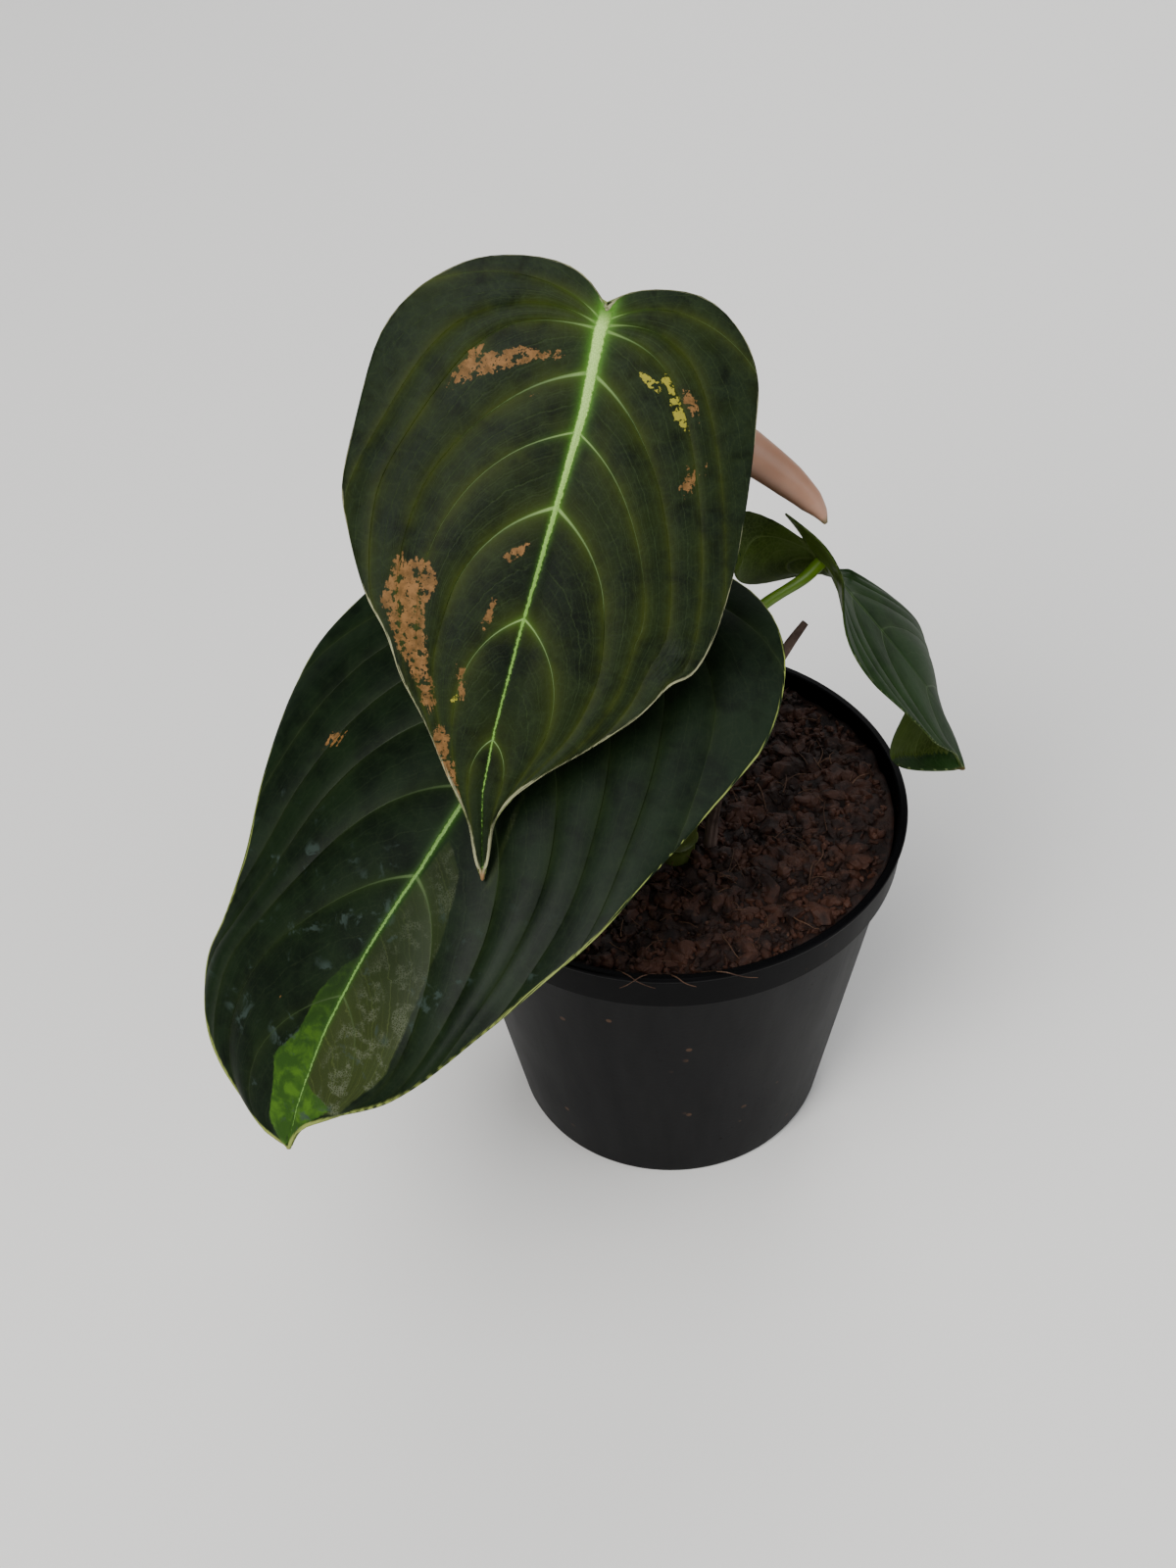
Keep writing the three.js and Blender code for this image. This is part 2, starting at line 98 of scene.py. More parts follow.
class Finish:
    def __init__(self, name, roughness, **fixed):
        self.item = bpy.data.materials.new(name)
        self.item.use_nodes = True
        self.tree = self.item.node_tree
        self.shader = self.tree.nodes["Principled BSDF"]
        self.shader.inputs["Roughness"].default_value = roughness
        for label, value in fixed.items():
            self.shader.inputs[label.replace("_", " ")].default_value = value

    def node(self, kind, output=0, settings=None, **inputs):
        node = self.tree.nodes.new("ShaderNode" + kind)
        for label, value in (settings or {}).items():
            setattr(node, label, value)
        for label, value in inputs.items():
            self.feed(value, node.inputs[label.replace("_", " ")])
        return Value(self.tree, node.outputs[output])

    def feed(self, value, slot):
        if isinstance(value, Value):
            self.tree.links.new(value.socket, slot)
        elif isinstance(value, tuple) and len(value) == 3 and slot.type == "RGBA":
            slot.default_value = (*value, 1.0)
        else:
            slot.default_value = value

    def attribute(self, name):
        return self.node("Attribute", "Fac", {"attribute_name": name})

    def attributes(self, names):
        return [self.attribute(name) for name in names.split()]

    def place(self):
        return self.node("TexCoord", "Object")

    def drawing(self):
        return self.node("UVMap", 0, {"uv_map": "drawing"})

    def noise(self, place, scale, detail=3.0, rough=0.55, skew=0.0):
        return self.node("TexNoise", 0, Vector=place, Scale=scale, Detail=detail,
                         Roughness=rough, Distortion=skew)

    def cells(self, place, scale, feature="F1"):
        return self.node("TexVoronoi", 0, {"feature": feature}, Vector=place, Scale=scale)

    def mix(self, share, first, second):
        node = self.tree.nodes.new("ShaderNodeMix")
        node.data_type = "RGBA"
        for slot, value in zip((0, 6, 7), (share, first, second)):
            self.feed(value, node.inputs[slot])
        return Value(self.tree, node.outputs[2])

    def stretch(self, place, scale):
        return self.node("Mapping", 0, Vector=place, Scale=scale)

    def end(self, colour, height=None, distance=0.0002, strength=0.6, **driven):
        self.feed(colour, self.shader.inputs["Base Color"])
        for label, value in driven.items():
            self.feed(value, self.shader.inputs[label.replace("_", " ")])
        if height is not None:
            bump = self.node("Bump", 0, Height=height, Distance=distance, Strength=strength)
            self.feed(bump, self.shader.inputs["Normal"])
        return self.item


def newObject(name, data):
    item = bpy.data.objects.new(name, data)
    bpy.context.scene.collection.objects.link(item)
    return item


def newMesh(name, points, faces, finish):
    mesh = bpy.data.meshes.new(name)
    mesh.from_pydata([tuple(p) for p in np.asarray(points) * mm], [], faces)
    mesh.update()
    mesh.polygons.foreach_set("use_smooth", [True] * len(mesh.polygons))
    mesh.materials.append(finish)
    return newObject(name, mesh)


# a skin over rings of points, closed by a fan at either end
def loftRings(name, rings, finish):
    sides = len(rings[0])
    points = np.vstack([np.mean(rings[0], axis=0), *rings, np.mean(rings[-1], axis=0)])
    steps = [(i, (i + 1) % sides) for i in range(sides)]
    faces = [(0, 1 + j, 1 + i) for i, j in steps]
    for low in range(1, len(points) - 1 - sides, sides):
        high = low + sides
        faces += [(low + i, low + j, high + j, high + i) for i, j in steps]
    last = len(points) - 1
    faces += [(last - sides + i, last - sides + j, last) for i, j in steps]
    return newMesh(name, points, faces, finish)


def addValues(item, name, values):
    layer = item.data.attributes.new(name, "FLOAT", "POINT")
    layer.data.foreach_set("value", np.asarray(values, np.float32))


# the object as its modifiers leave it, as a plain mesh
def finishedMesh(item):
    bpy.context.view_layer.update()
    whole = item.evaluated_get(bpy.context.evaluated_depsgraph_get())
    mesh = bpy.data.meshes.new_from_object(whole)
    item.modifiers.clear()
    return mesh


def settle(item, slotName, *nodes):
    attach(item, "root")
    if nodes:
        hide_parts(*nodes)
    print("made", item.name, len(item.data.polygons), "faces")


# a smooth curve through points, centripetal, with the share of its length at each step
def smoothThrough(points, perSpan=24):
    p = np.array(points, float)
    p = np.vstack([2 * p[0] - p[1], p, 2 * p[-1] - p[-2]])
    share = np.linspace(0, 1, perSpan, endpoint=False)[:, None]
    runs = []
    for a, b, c, d in zip(p[:-3], p[1:-2], p[2:-1], p[3:]):
        ab, bc, cd = (math.sqrt(np.linalg.norm(v)) for v in (b - a, c - b, d - c))
        leave = ((b - a) / ab - (c - a) / (ab + bc) + (c - b) / bc) * bc
        arrive = ((c - b) / bc - (d - b) / (bc + cd) + (d - c) / cd) * bc
        runs.append((2 * share**3 - 3 * share**2 + 1) * b + (share**3 - 2 * share**2 + share) * leave
                    + (3 * share**2 - 2 * share**3) * c + (share**3 - share**2) * arrive)
    line = np.vstack([*runs, p[-2:-1]])
    length = np.concatenate([[0], np.cumsum(np.linalg.norm(np.diff(line, axis=0), axis=1))])
    return line, length / length[-1]


def follow(pairs, x):
    pairs = np.array(pairs, float)
    return np.interp(x, pairs[:, 0], pairs[:, 1])


def unit(v):
    return np.asarray(v, float) / np.linalg.norm(v)


# Blades, drawn flat in mm and then hung, as in the part's source. The left side is +x.
flatLeaf = dict(
    tipBend=0, bendPower=2, lobeBend=0, lobeLength=20, fold=(0, 0), curl=(0, 0), twist=(0, 0, 1),
    tipFold=(0, 0), tipFoldPower=3, lobeFold=(0, 0), lobeStart=(0, 0), sweep=2.1, thick=0.6,
    rowsPerVein=20, columns=46, gold=(), cream=(), shade=(),
)

frontLeaf = dict(
    flatLeaf, hub=(-12.8, -9.2, 241.8), toTip=(-0.26, -0.6, -0.76), face=(-0.02, -0.78, 0.63), length=116,
    halfWidth=42, tipBend=14, lobeBend=20, lobeLength=16, fold=(4, 4), curl=(-22, -22), relief=1.1,
    wave=0.5, sweep=2.4, ribWidth=(0.98, 0.26), veinLine=0.24,
    midrib=[(-4.5, -0.5), (0, 0), (16, -0.2), (44, 1.7), (62, 3), (84, 4.1), (97.7, 3.9), (110.5, 1.5),
        (116.5, 0.2)],
    left=[(4.2, -9.3), (8.9, -11.4), (16.9, -11.8), (27.5, -9.5), (34.3, -5.2), (40.1, 0.7), (44.5, 8.9),
        (46.3, 27.8), (46.2, 42), (42.7, 50.7), (35.9, 62.9), (30.5, 69.2), (25.3, 77.8), (18.3, 86.2),
        (11, 96.7), (5.9, 104), (2.4, 112.4)],
    right=[(-2.8, -7.8), (-10.6, -10.7), (-20, -10.9), (-28.5, -5.6), (-33.4, 2), (-35.4, 12.5),
        (-37.3, 32.9), (-37.2, 49.2), (-35.4, 60), (-33.2, 64.6), (-29.8, 67.1), (-24.4, 75.1),
        (-15.8, 84), (-7.4, 91.5), (-2.3, 97.7), (0.2, 103.6), (0, 111.5)],
    ribs=[(0, -4.5), (0.1, -1.5), (0.3, 0), (0.36, 3), (0.5, 22), (0.6, 38), (0.72, 60), (0.85, 86),
        (1, 116.5)],
    veins=[(0, 0, 0), (0.09, 0.24, 0.5), (0.165, 0.53, 1), (0.25, 0.66, 0.9), (0.4, 0.77, 1),
        (0.49, 0.84, 0.35), (0.59, 0.91, 0.9), (0.72, 0.95, 0.35), (0.85, 0.98, 0.3), (1, 1, 0)],
    # markings, each a stroke (x, y to x, y, half width) or an area's corners
    gold=[(7, 6.4, 10, 7.4, 0.8), (12.5, 7.2, 18, 9.6, 1.7), (18, 9.8, 24, 12.5, 2.0),
        (24, 13.5, 27, 15.3, 1.1), (23, 8, 25, 10.5, 0.8), (26, 57, 28.5, 62, 4.4),
        (30.5, 53, 31.5, 58, 1.2), (27.5, 63.5, 25, 69, 3.6), (24.5, 69, 21.5, 76, 2.1),
        (22, 75, 18.6, 81, 1.5), (15.4, 86.5, 12.4, 93.5, 1.4), (12, 94, 9.4, 100.5, 1.2),
        (5, 45, 8.2, 48.3, 1.0), (9.5, 57.5, 10.4, 63.6, 0.5), (13.6, 73, 12, 79, 1.0),
        (10.6, 15.4, 12, 16.2, 0.5), (-19.5, 8, -22.3, 11.5, 0.9), (-24.3, 24.2, -23.7, 28, 1.2),
        (-27.2, 21.8, -26.6, 23.6, 0.5)],
    cream=[(-9.8, 6.4, -12.4, 8.2, 0.6), (-13.5, 8.6, -14.5, 9.4, 0.4), (-15, 6.2, -17, 8.6, 0.7),
        (-17.4, 10.4, -19.6, 13.4, 1.0), (-20, 13.4, -21.6, 15.6, 0.7), (12.8, 78, 14, 80.4, 0.8)])

lowLeaf = dict(
    flatLeaf, hub=(-16.1, -18.9, 176.7), toTip=(-0.6, -0.7, -0.39), face=(-0.22, -0.32, 0.92), length=140,
    halfWidth=50, tipBend=38, bendPower=1.6, lobeBend=25, lobeLength=22, fold=(0, 2), curl=(-14, -16),
    relief=1.3, wave=0.7, ribWidth=(0.8, 0.35), veinLine=0.28,
    midrib=[(-7, -0.5), (0, 0), (50, 0.4), (68, 0.8), (90, 2.8), (110, 3.7), (128, 3.2), (138, 1.8)],
    left=[(5, -15), (18, -21), (34, -18), (48, -5), (57.5, 16), (61.5, 33), (59.8, 46), (51, 70.7),
        (45, 86), (43, 102), (42.8, 111), (38.8, 119.5), (30.3, 129), (20.2, 134.8), (10, 137.4)],
    right=[(-5, -15), (-12, -21.5), (-21.9, -23.3), (-31.2, -21.2), (-39.7, -15.1), (-46, -4.8),
        (-49.2, 7.4), (-48.3, 18.5), (-44.5, 45.4), (-41.8, 61.8), (-36.9, 75.5), (-30, 91.7),
        (-19.1, 113.4), (-5.7, 126), (0, 132)],
    ribs=[(0, -7), (0.1, -2), (0.26, 0), (0.34, 6), (0.44, 22), (0.55, 42), (0.68, 66), (0.82, 96),
        (1, 138)],
    veins=[(0, 0, 0), (0.1, 0.26, 0.8), (0.18, 0.48, 1), (0.27, 0.62, 1), (0.37, 0.73, 1),
        (0.47, 0.81, 1), (0.58, 0.88, 1), (0.7, 0.93, 0.8), (0.84, 0.97, 0.5), (1, 1, 0)],
    gold=[(38, 52.6, 40.4, 54.6, 1.6), (17.4, 107.4, 18, 108.2, 0.4), (0, 101.8, 0.3, 102.5, 0.4)],
    # the lime part at the tip and left of the midrib, and the grey-olive part right of it
    cream=[[(2.4, 89), (6.2, 94.8), (9.4, 103), (9.6, 112), (13.5, 120.5), (11, 126), (9, 134), (3, 138),
        (3.4, 128), (3.9, 112), (2.8, 96)], [(-5.2, 124), (0, 131), (3, 138), (3, 122)]],
    shade=[[(-1.6, 60), (-8, 65), (-11.8, 77.6), (-13.8, 98.8), (-14, 111), (-7, 124), (0, 128),
        (3.2, 126), (3.4, 110), (2.4, 92), (0.6, 78)], (-10.4, 41, -15.2, 65, 0.5)])

sideLeaf = dict(
    flatLeaf, hub=(37.6, 12.6, 163.3), toTip=(0.62, -0.31, -0.72), face=(0.78, 0.39, 0.5), length=64,
    halfWidth=25, tipBend=30, bendPower=4, lobeLength=25, fold=(2, 4), curl=(0, -20), twist=(-31, 1, 10),
    tipFold=(0, -175), tipFoldPower=8, lobeFold=(-45, -80), lobeStart=(2, 10), relief=0.7, wave=0.3,
    ribWidth=(0.5, 0.2), veinLine=0.22, midrib=[(-5, 0), (0, 0), (64, 0)],
    left=[(2, -10), (5, -15), (8, -16), (11, -10), (15, -1), (20, 9), (22, 22), (19, 37), (13, 50),
        (5, 58)],
    right=[(-2, -13), (-7, -22), (-13, -24), (-18, -14), (-15, 0), (-15, 12), (-23.6, 28), (-30.4, 42),
        (-19.4, 57)],
    ribs=[(0, -5), (0.1, -2), (0.28, 0), (0.36, 4), (0.5, 14), (0.65, 27), (0.8, 43), (1, 64)],
    veins=[(0, 0, 0), (0.12, 0.3, 0.6), (0.24, 0.58, 1), (0.34, 0.72, 1), (0.46, 0.82, 1),
        (0.6, 0.9, 0.8), (0.78, 0.96, 0.5), (1, 1, 0)])


def leafAxes(leaf):
    along = unit(leaf["toTip"])
    face = np.array(leaf["face"], float)
    face = unit(face - face @ along * along)
    return np.cross(along, face), along, face


def hang(leaf, x, y, height):
    ahead = y >= 0
    bend = np.radians(np.where(ahead, leaf["tipBend"], leaf["lobeBend"]))
    power = np.where(ahead, leaf["bendPower"], 1.5)
    reach = np.where(ahead, leaf["length"], leaf["lobeLength"])
    sign = np.where(ahead, 1, -1)
    u = np.abs(y) / reach
    turn = sign * bend * u**power
    run = sign * reach * (u - bend**2 * u ** (2 * power + 1) / (4 * power + 2)
                          + bend**4 * u ** (4 * power + 1) / (24 * (4 * power + 1)))
    drop = reach * (bend * u ** (power + 1) / (power + 1)
                    - bend**3 * u ** (3 * power + 1) / (6 * (3 * power + 1)))
    side = np.where(x >= 0, 0, 1)

    def pick(name):
        return np.array(leaf[name], float)[side]

    lift = np.radians(
        pick("fold") + pick("tipFold") * np.clip(y / leaf["length"], 0, 1) ** leaf["tipFoldPower"]
        + pick("lobeFold") * np.clip((pick("lobeStart") - y) / leaf["lobeLength"], 0, 1)
        + pick("curl") * np.abs(x) / leaf["halfWidth"] / 2)
    out = x * np.cos(lift)
    up = np.abs(x) * np.sin(lift) + height
    angle, start, spread = leaf["twist"]
    twist = math.radians(angle) * np.tanh((y - start) / spread)
    across = out * np.cos(twist) - up * np.sin(twist)
    above = out * np.sin(twist) + up * np.cos(twist)
    sideways, along, face = leafAxes(leaf)
    return (np.array(leaf["hub"]) + across[..., None] * sideways
            + (run + above * np.sin(turn))[..., None] * along
            + (-drop + above * np.cos(turn))[..., None] * face)


def drawHalf(leaf, outline, k, t):
    veins = np.array(leaf["veins"])
    number = np.arange(len(veins))
    leave = np.interp(k, number, veins[:, 0])
    arrive = np.interp(k, number, veins[:, 1])
    sweep = t ** leaf["sweep"]
    share = leave * (1 - sweep) + arrive * sweep
    rootY = follow(leaf["ribs"], share)
    root = np.stack([follow(leaf["midrib"], rootY), rootY], -1)
    line, length = outline
    edge = np.stack([np.interp(share, length, line[:, i]) for i in (0, 1)], -1)
    return root * (1 - t[..., None]) + edge * t[..., None]


# 0.5 on a marking's border, 1 well inside it and 0 well outside
def markField(marks, flat, soft=3.0):
    field = np.zeros(flat.shape[:-1])
    for mark in marks:
        if len(mark) == 5 and not isinstance(mark[0], tuple):
            corners, half = np.array([mark[:2], mark[2:4]], float), mark[4]
        else:
            corners, half = np.array([*mark, mark[0]], float), 0.0
        away = np.full(flat.shape[:-1], 1e9)
        inside = np.zeros(flat.shape[:-1], bool)
        for a, b in zip(corners[:-1], corners[1:]):
            share = np.clip(((flat - a) @ (b - a)) / ((b - a) @ (b - a)), 0, 1)
            away = np.minimum(away, np.linalg.norm(flat - a - share[..., None] * (b - a), axis=-1))
            spans = (a[1] > flat[..., 1]) != (b[1] > flat[..., 1])
            crossing = a[0] + (b[0] - a[0]) * (flat[..., 1] - a[1]) / (b[1] - a[1] + 1e-9)
            inside ^= spans & (flat[..., 0] < crossing) & (half == 0)
        depth = half - away if half else np.where(inside, away, -away)
        field = np.maximum(field, np.clip(0.5 + depth / soft, 0, 1))
    return field


def makeBlade(name, leaf, upperFinish):
    veins = np.array(leaf["veins"])
    intervals, perVein, columns = len(veins) - 1, leaf["rowsPerVein"], leaf["columns"]
    rows, width, farAway = intervals * perVein, 2 * columns + 1, 99

    def veinBefore(k):
        return np.minimum(np.floor(k), intervals - 1)

    # rows crowd towards the veins, columns towards the midrib and the margin
    step = np.arange(rows + 1) / perVein
    k1 = veinBefore(step) + 0.5 - 0.5 * np.cos(np.pi * (step - veinBefore(step)))
    half = 0.5 - 0.5 * np.cos(np.pi * np.linspace(0, 1, columns + 1))
    k, t = np.meshgrid(k1, half, indexing="ij")
    f = k - veinBefore(k)
    below = veinBefore(k).astype(int)
    depth = veins[:, 2]
    real = depth > 0
    furrow = depth[below] * (1 - f) ** 2.2 + depth[below + 1] * f**2.2
    strength = np.clip(t / 0.3, 0, 1) * (1 - 0.75 * np.clip((t - 0.6) / 0.4, 0, 1))
    swell = leaf["relief"] * strength * (0.45 - furrow)
    swell = swell + leaf["wave"] * np.sin(2.4 * k + 0.7) * t**4
    notch, tip = [(x, y) for y, x in (leaf["midrib"][0], leaf["midrib"][-1])]
    sides = {}
    for key in ("left", "right"):
        outline = smoothThrough([notch, *leaf[key], tip])
        flat = drawHalf(leaf, outline, k, t)
        # distance in mm to the nearest vein line, down each column
        gaps = np.linalg.norm(np.diff(flat, axis=0), axis=-1)
        run = np.vstack([np.zeros(columns + 1), np.cumsum(gaps, axis=0)])
        lower, upper = (np.take_along_axis(run[::perVein], row, axis=0) for row in (below, below + 1))
        toLower = np.where(real[below], run - lower, farAway)
        toUpper = np.where(real[below + 1], upper - run, farAway)
        near = np.where(toLower < toUpper, below, below + 1)
        edgeLine = outline[0][::3]
        edgeGap = np.min(np.linalg.norm(flat[:, :, None] - edgeLine[None, None], axis=-1), axis=2)
        ribY = np.clip(flat[..., 1] / leaf["length"], 0, 1)
        place = hang(leaf, flat[..., 0], flat[..., 1], swell)
        sides[key] = dict(
            flat=flat, t=t, place=place,
            upward=hang(leaf, flat[..., 0], flat[..., 1], swell + 1) - place,
            veinGap=np.minimum(toLower, toUpper), veinRun=k, veinSpan=upper - lower,
            veinWidth=leaf["veinLine"] * (0.35 + 0.65 * depth[near]) * (1.15 - 0.8 * t),
            edgeGap=edgeGap, ribGap=np.abs(flat[..., 0] - follow(leaf["midrib"], flat[..., 1])),
            ribHalf=leaf["ribWidth"][0] * (1 - ribY) ** 3 + leaf["ribWidth"][1] * (1 - 0.5 * ribY),
            along=ribY, ahead=flat[..., 1] / leaf["length"], pillow=4 * f * (1 - f),
            gold=markField(leaf["gold"], flat), cream=markField(leaf["cream"], flat),
            shade=markField(leaf["shade"], flat, 5.0))

    # one row runs from the right margin over the midrib to the left margin
    def joined(key):
        whole = np.concatenate([sides["right"][key][:, :0:-1], sides["left"][key]], axis=1)
        return whole.reshape(-1, *whole.shape[2:])

    index = np.arange((rows + 1) * width).reshape(rows + 1, width)
    index[0] = index[0, columns]
    index[-1] = index[-1, columns]
    place = joined("place")
    a, b, c, d = index[:-1, :-1], index[:-1, 1:], index[1:, 1:], index[1:, :-1]
    leftHalf = np.arange(width - 1) >= columns
    triangles = []
    for corners, where in (((a, b, c), leftHalf), ((a, c, d), leftHalf), ((a, b, d), ~leftHalf),
                           ((b, c, d), ~leftHalf)):
        triangles.append(np.stack(corners, -1)[:, where].reshape(-1, 3))
    skin = np.vstack(triangles)
    skin = skin[(skin[:, 0] != skin[:, 1]) & (skin[:, 1] != skin[:, 2]) & (skin[:, 0] != skin[:, 2])]
    corner = place[skin]
    faceNormal = np.cross(corner[:, 1] - corner[:, 0], corner[:, 2] - corner[:, 0])
    normal = np.zeros_like(place)
    for i in range(3):
        np.add.at(normal, skin[:, i], faceNormal)
    size = np.linalg.norm(normal, axis=1, keepdims=True)
    normal = np.divide(normal, size, out=np.zeros_like(normal), where=size > 1e-12)
    flip = np.sign((normal * joined("upward")).sum(1, keepdims=True))
    flip[flip == 0] = 1
    normal = normal * flip
    thin = leaf["thick"] / 2 * (1 - 0.55 * np.clip((joined("t") - 0.985) / 0.015, 0, 1) ** 2)
    ribGap, ribHalf, veinGap, veinWidth = map(joined, ("ribGap", "ribHalf", "veinGap", "veinWidth"))
    keel = np.clip(1 - (ribGap / (ribHalf * 1.1)) ** 2, 0, 1) ** 0.5 * ribHalf * 0.75
    cord = np.clip(1 - (veinGap / (veinWidth * 1.6)) ** 2, 0, 1) ** 0.5 * veinWidth * 0.7
    cord *= np.clip(ribGap / 2, 0, 1) * np.clip(joined("edgeGap") / 4, 0, 1)
    groove = 0.35 * np.exp(-((ribGap - ribHalf) / 0.5) ** 2) - 0.2 * np.exp(-(ribGap / ribHalf) ** 2)
    upper = place + normal * (thin - groove * ribHalf / 1.6)[:, None]
    lower = place - normal * (thin + np.maximum(keel, cord))[:, None]
    used = np.unique(skin)
    total = len(used)
    renumber = -np.ones(len(place), int)
    renumber[used] = np.arange(total)
    skin = renumber[skin]
    rim = []
    for column in (0, width - 1):
        for p, q in zip(renumber[index[:-1, column]].tolist(), renumber[index[1:, column]].tolist()):
            rim.append((p, q, q + total, p + total) if column else (q, p, p + total, q + total))
    faces = skin.tolist() + (skin[:, ::-1] + total).tolist() + rim
    item = newMesh(name, np.vstack([upper[used], lower[used]]), faces, upperFinish)
    for key in sides["left"]:
        if key not in ("flat", "t", "place", "upward"):
            addValues(item, key, np.tile(joined(key)[used], 2))
    addValues(item, "upperFace", np.repeat([1.0, 0.0], total))
    # the drawing's own map: a square of 200 mm with the hub in its middle
    flat = np.tile(joined("flat")[used], (2, 1)) / 200 + 0.5
    layer = item.data.uv_layers.new(name="drawing")
    loops = np.empty(len(item.data.loops), np.int32)
    item.data.loops.foreach_get("vertex_index", loops)
    layer.data.foreach_set("uv", flat[loops].astype(np.float32).ravel())
    return item


# blade finishes
def bladeFinish(name, look):
    m = Finish(name, 0.5, Specular_IOR_Level=look["specular"])
    flat = m.drawing()
    broad, middle = m.noise(flat, 14, 4, 0.6), m.noise(flat, 45, 4, 0.6, 0.4)
    fine, grit = m.noise(flat, 240, 4, 0.65), m.noise(flat, 700, 3, 0.6)
    sway, fray = middle - 0.5, fine - 0.5
    net, mesh, cracks = (m.cells(flat, scale, "DISTANCE_TO_EDGE") for scale in (58, 170, 420))
    veinGap, veinWidth, veinRun, veinSpan = m.attributes("veinGap veinWidth veinRun veinSpan")
    ribGap, ribHalf, along, ahead = m.attributes("ribGap ribHalf along ahead")
    edgeGap, pillow, gold, cream, shade = m.attributes("edgeGap pillow gold cream shade")

    # distance in mm to the finer veins, so many side by side between two main ones
    def between(count, wobble):
        part = (veinRun * count + sway * wobble).maths("FRACT")
        return part.least(1.0 - part) * veinSpan * (1.0 / count)

    skin = m.mix(broad.ramp(0.38, 0.62), look["deep"], look["base"])

    def over(share, colour):
        nonlocal skin
        skin = m.mix(share, skin, colour)

    # painted sheen: a slate colour laid over the pillows between the veins, near the margins and towards
    # the hub, standing in for the velvet's sheen
    light = pillow * 0.45 + edgeGap.fade(11.0) * 0.55 + along.ramp(0.45, 0.0) * 0.35
    over((light * middle.ramp(0.28, 0.62)).least(1.0) * look["paintedSheenShare"], look["paintedSheen"])
    shaded = (shade + sway * 0.2).ramp(0.42, 0.56) * look["shadeShare"]
    shaded = shaded * (0.4 + along.ramp(0.6, 0.78) * 0.6)
    over(veinGap.fade(look["glowReach"]) * broad.ramp(0.25, 0.6) * look["glowShare"], look["glow"])
    early = along.ramp(0.95, 0.4)
    over(veinGap.fade(0.7) * ribGap.fade(5.0) * early * look["haloShare"] * 0.7, look["halo"])
    clear = (ribGap * 0.25).least(1.0)
    threads = between(4, 0.7).ramp(0.34, 0.06) * 0.6 + between(10, 1.4).ramp(0.24, 0.05) * 0.3
    over((shaded * (0.3 + grit * 0.5 + threads * 0.8)).least(1.0), look["shade"])
    over((threads * clear * fine.ramp(0.25, 0.6)).least(1.0) * look["threadShare"], look["net"])
    crackle = cracks.ramp(0.16, 0.04) * middle.ramp(0.48, 0.6)
    over(crackle * shaded * ribGap.ramp(1.5, 5.0) * 0.55, (0.12, 0.13, 0.09))
    cross = net.ramp(0.09, 0.015) * 0.55 + mesh.ramp(0.12, 0.02) * 0.4
    over(cross.least(1.0) * clear * middle.ramp(0.25, 0.6) * look["netShare"], look["net"])
    over(grit.ramp(0.55, 0.75) * look["gritShare"], look["glow"])
    if look["lime"]:
        inside = (cream + sway * 0.35 + fray * 0.25).ramp(0.42, 0.58) * along.ramp(0.58, 0.92) * 0.9
        over(inside, m.mix(middle.ramp(0.35, 0.6), look["lime"], look["limeDeep"]))
    dull = m.noise(flat, 44, 5, 0.65, 0.7).ramp(0.54, 0.64) * along.ramp(0.38, 0.6)
    marks = dull * m.noise(flat, 18, 2).ramp(0.5, 0.62) * look["marks"]
    over(marks, look["markColour"])
    flare = ribGap.fade(4.5) * early
    line = (veinGap / (veinWidth * (1.0 + flare * 0.7))).ramp(1.5, 0.45)
    over(line * look["lineShare"] * (0.6 + ribGap.fade(12.0) * 0.4),
         m.mix(flare * 0.4, look["line"], look["rib"]))
    ribShare = (ribGap + fray * 0.9) / ribHalf
    nearHub = look["haloFar"] + along.ramp(0.55, 0.0) * (1 - look["haloFar"])
    ring = (ribShare - 1.0).most(0.0).fade(look["haloReach"]) * look["haloShare"] * nearHub
    over(ring, look["halo"])
    ribColour = m.mix(along.ramp(0.0, 0.5), look["rib"], look["ribEnd"])
    ribColour = m.mix(grit.ramp(0.58, 0.44) * 0.35, ribColour, look["halo"])
    hubward = ahead.ramp(-0.042, -0.004)
    over(ribShare.ramp(1.15, 0.7) * look["ribShare"] * hubward, ribColour)
    if look["patch"]:
        ragged = sway * 1.1 + fray * 0.8
        holes = fine.ramp(0.36, 0.41) * m.noise(flat, 110, 3, 0.6).ramp(0.41, 0.46)
        copper = m.mix(m.noise(flat, 75, 4, 0.65).ramp(0.35, 0.65), look["patch"], look["patchDark"])
        offVein = (1.0 - line * 0.5) * ribShare.ramp(0.9, 1.3) * 0.88
        over((gold + ragged).ramp(0.51, 0.57) * holes * offVein, copper)
        if look["creamColour"]:
            over((cream + ragged).ramp(0.50, 0.56) * holes * offVein, look["creamColour"])
    rim = edgeGap * (1.6 - along.ramp(0.1, 0.6) * 0.6)
    margin = (rim + fray * 0.2).ramp(look["marginWidth"], look["marginWidth"] * 0.5)
    over(margin, look["margin"])
    over(along.ramp(0.978, 0.998) * look["tipShare"], (0.20, 0.085, 0.03))
    under = m.mix(broad.ramp(0.3, 0.7), look["under"], look["underLight"])
    for share in ((veinGap / veinWidth).ramp(2.2, 0.8) * 0.8, ribShare.ramp(1.6, 0.8),
                  (threads * clear * 0.5 + mesh.ramp(0.14, 0.02) * 0.3).least(1.0)):
        under = m.mix(share, under, look["underVein"])
    colour = m.mix(m.attribute("upperFace"), under, skin)
    rough = look["rough"] + marks * 0.2 + fray * 0.1 - line * 0.06
    height = middle * 0.8 + fine * 0.3 - threads * 0.5 - cross * 0.3 - line * 0.4
    colour = m.mix(grit.ramp(0.74, 0.78) * broad.ramp(0.4, 0.6) * 0.6, colour, look["net"])
    return m.end(colour, height, look["bump"], 0.6, Roughness=rough)
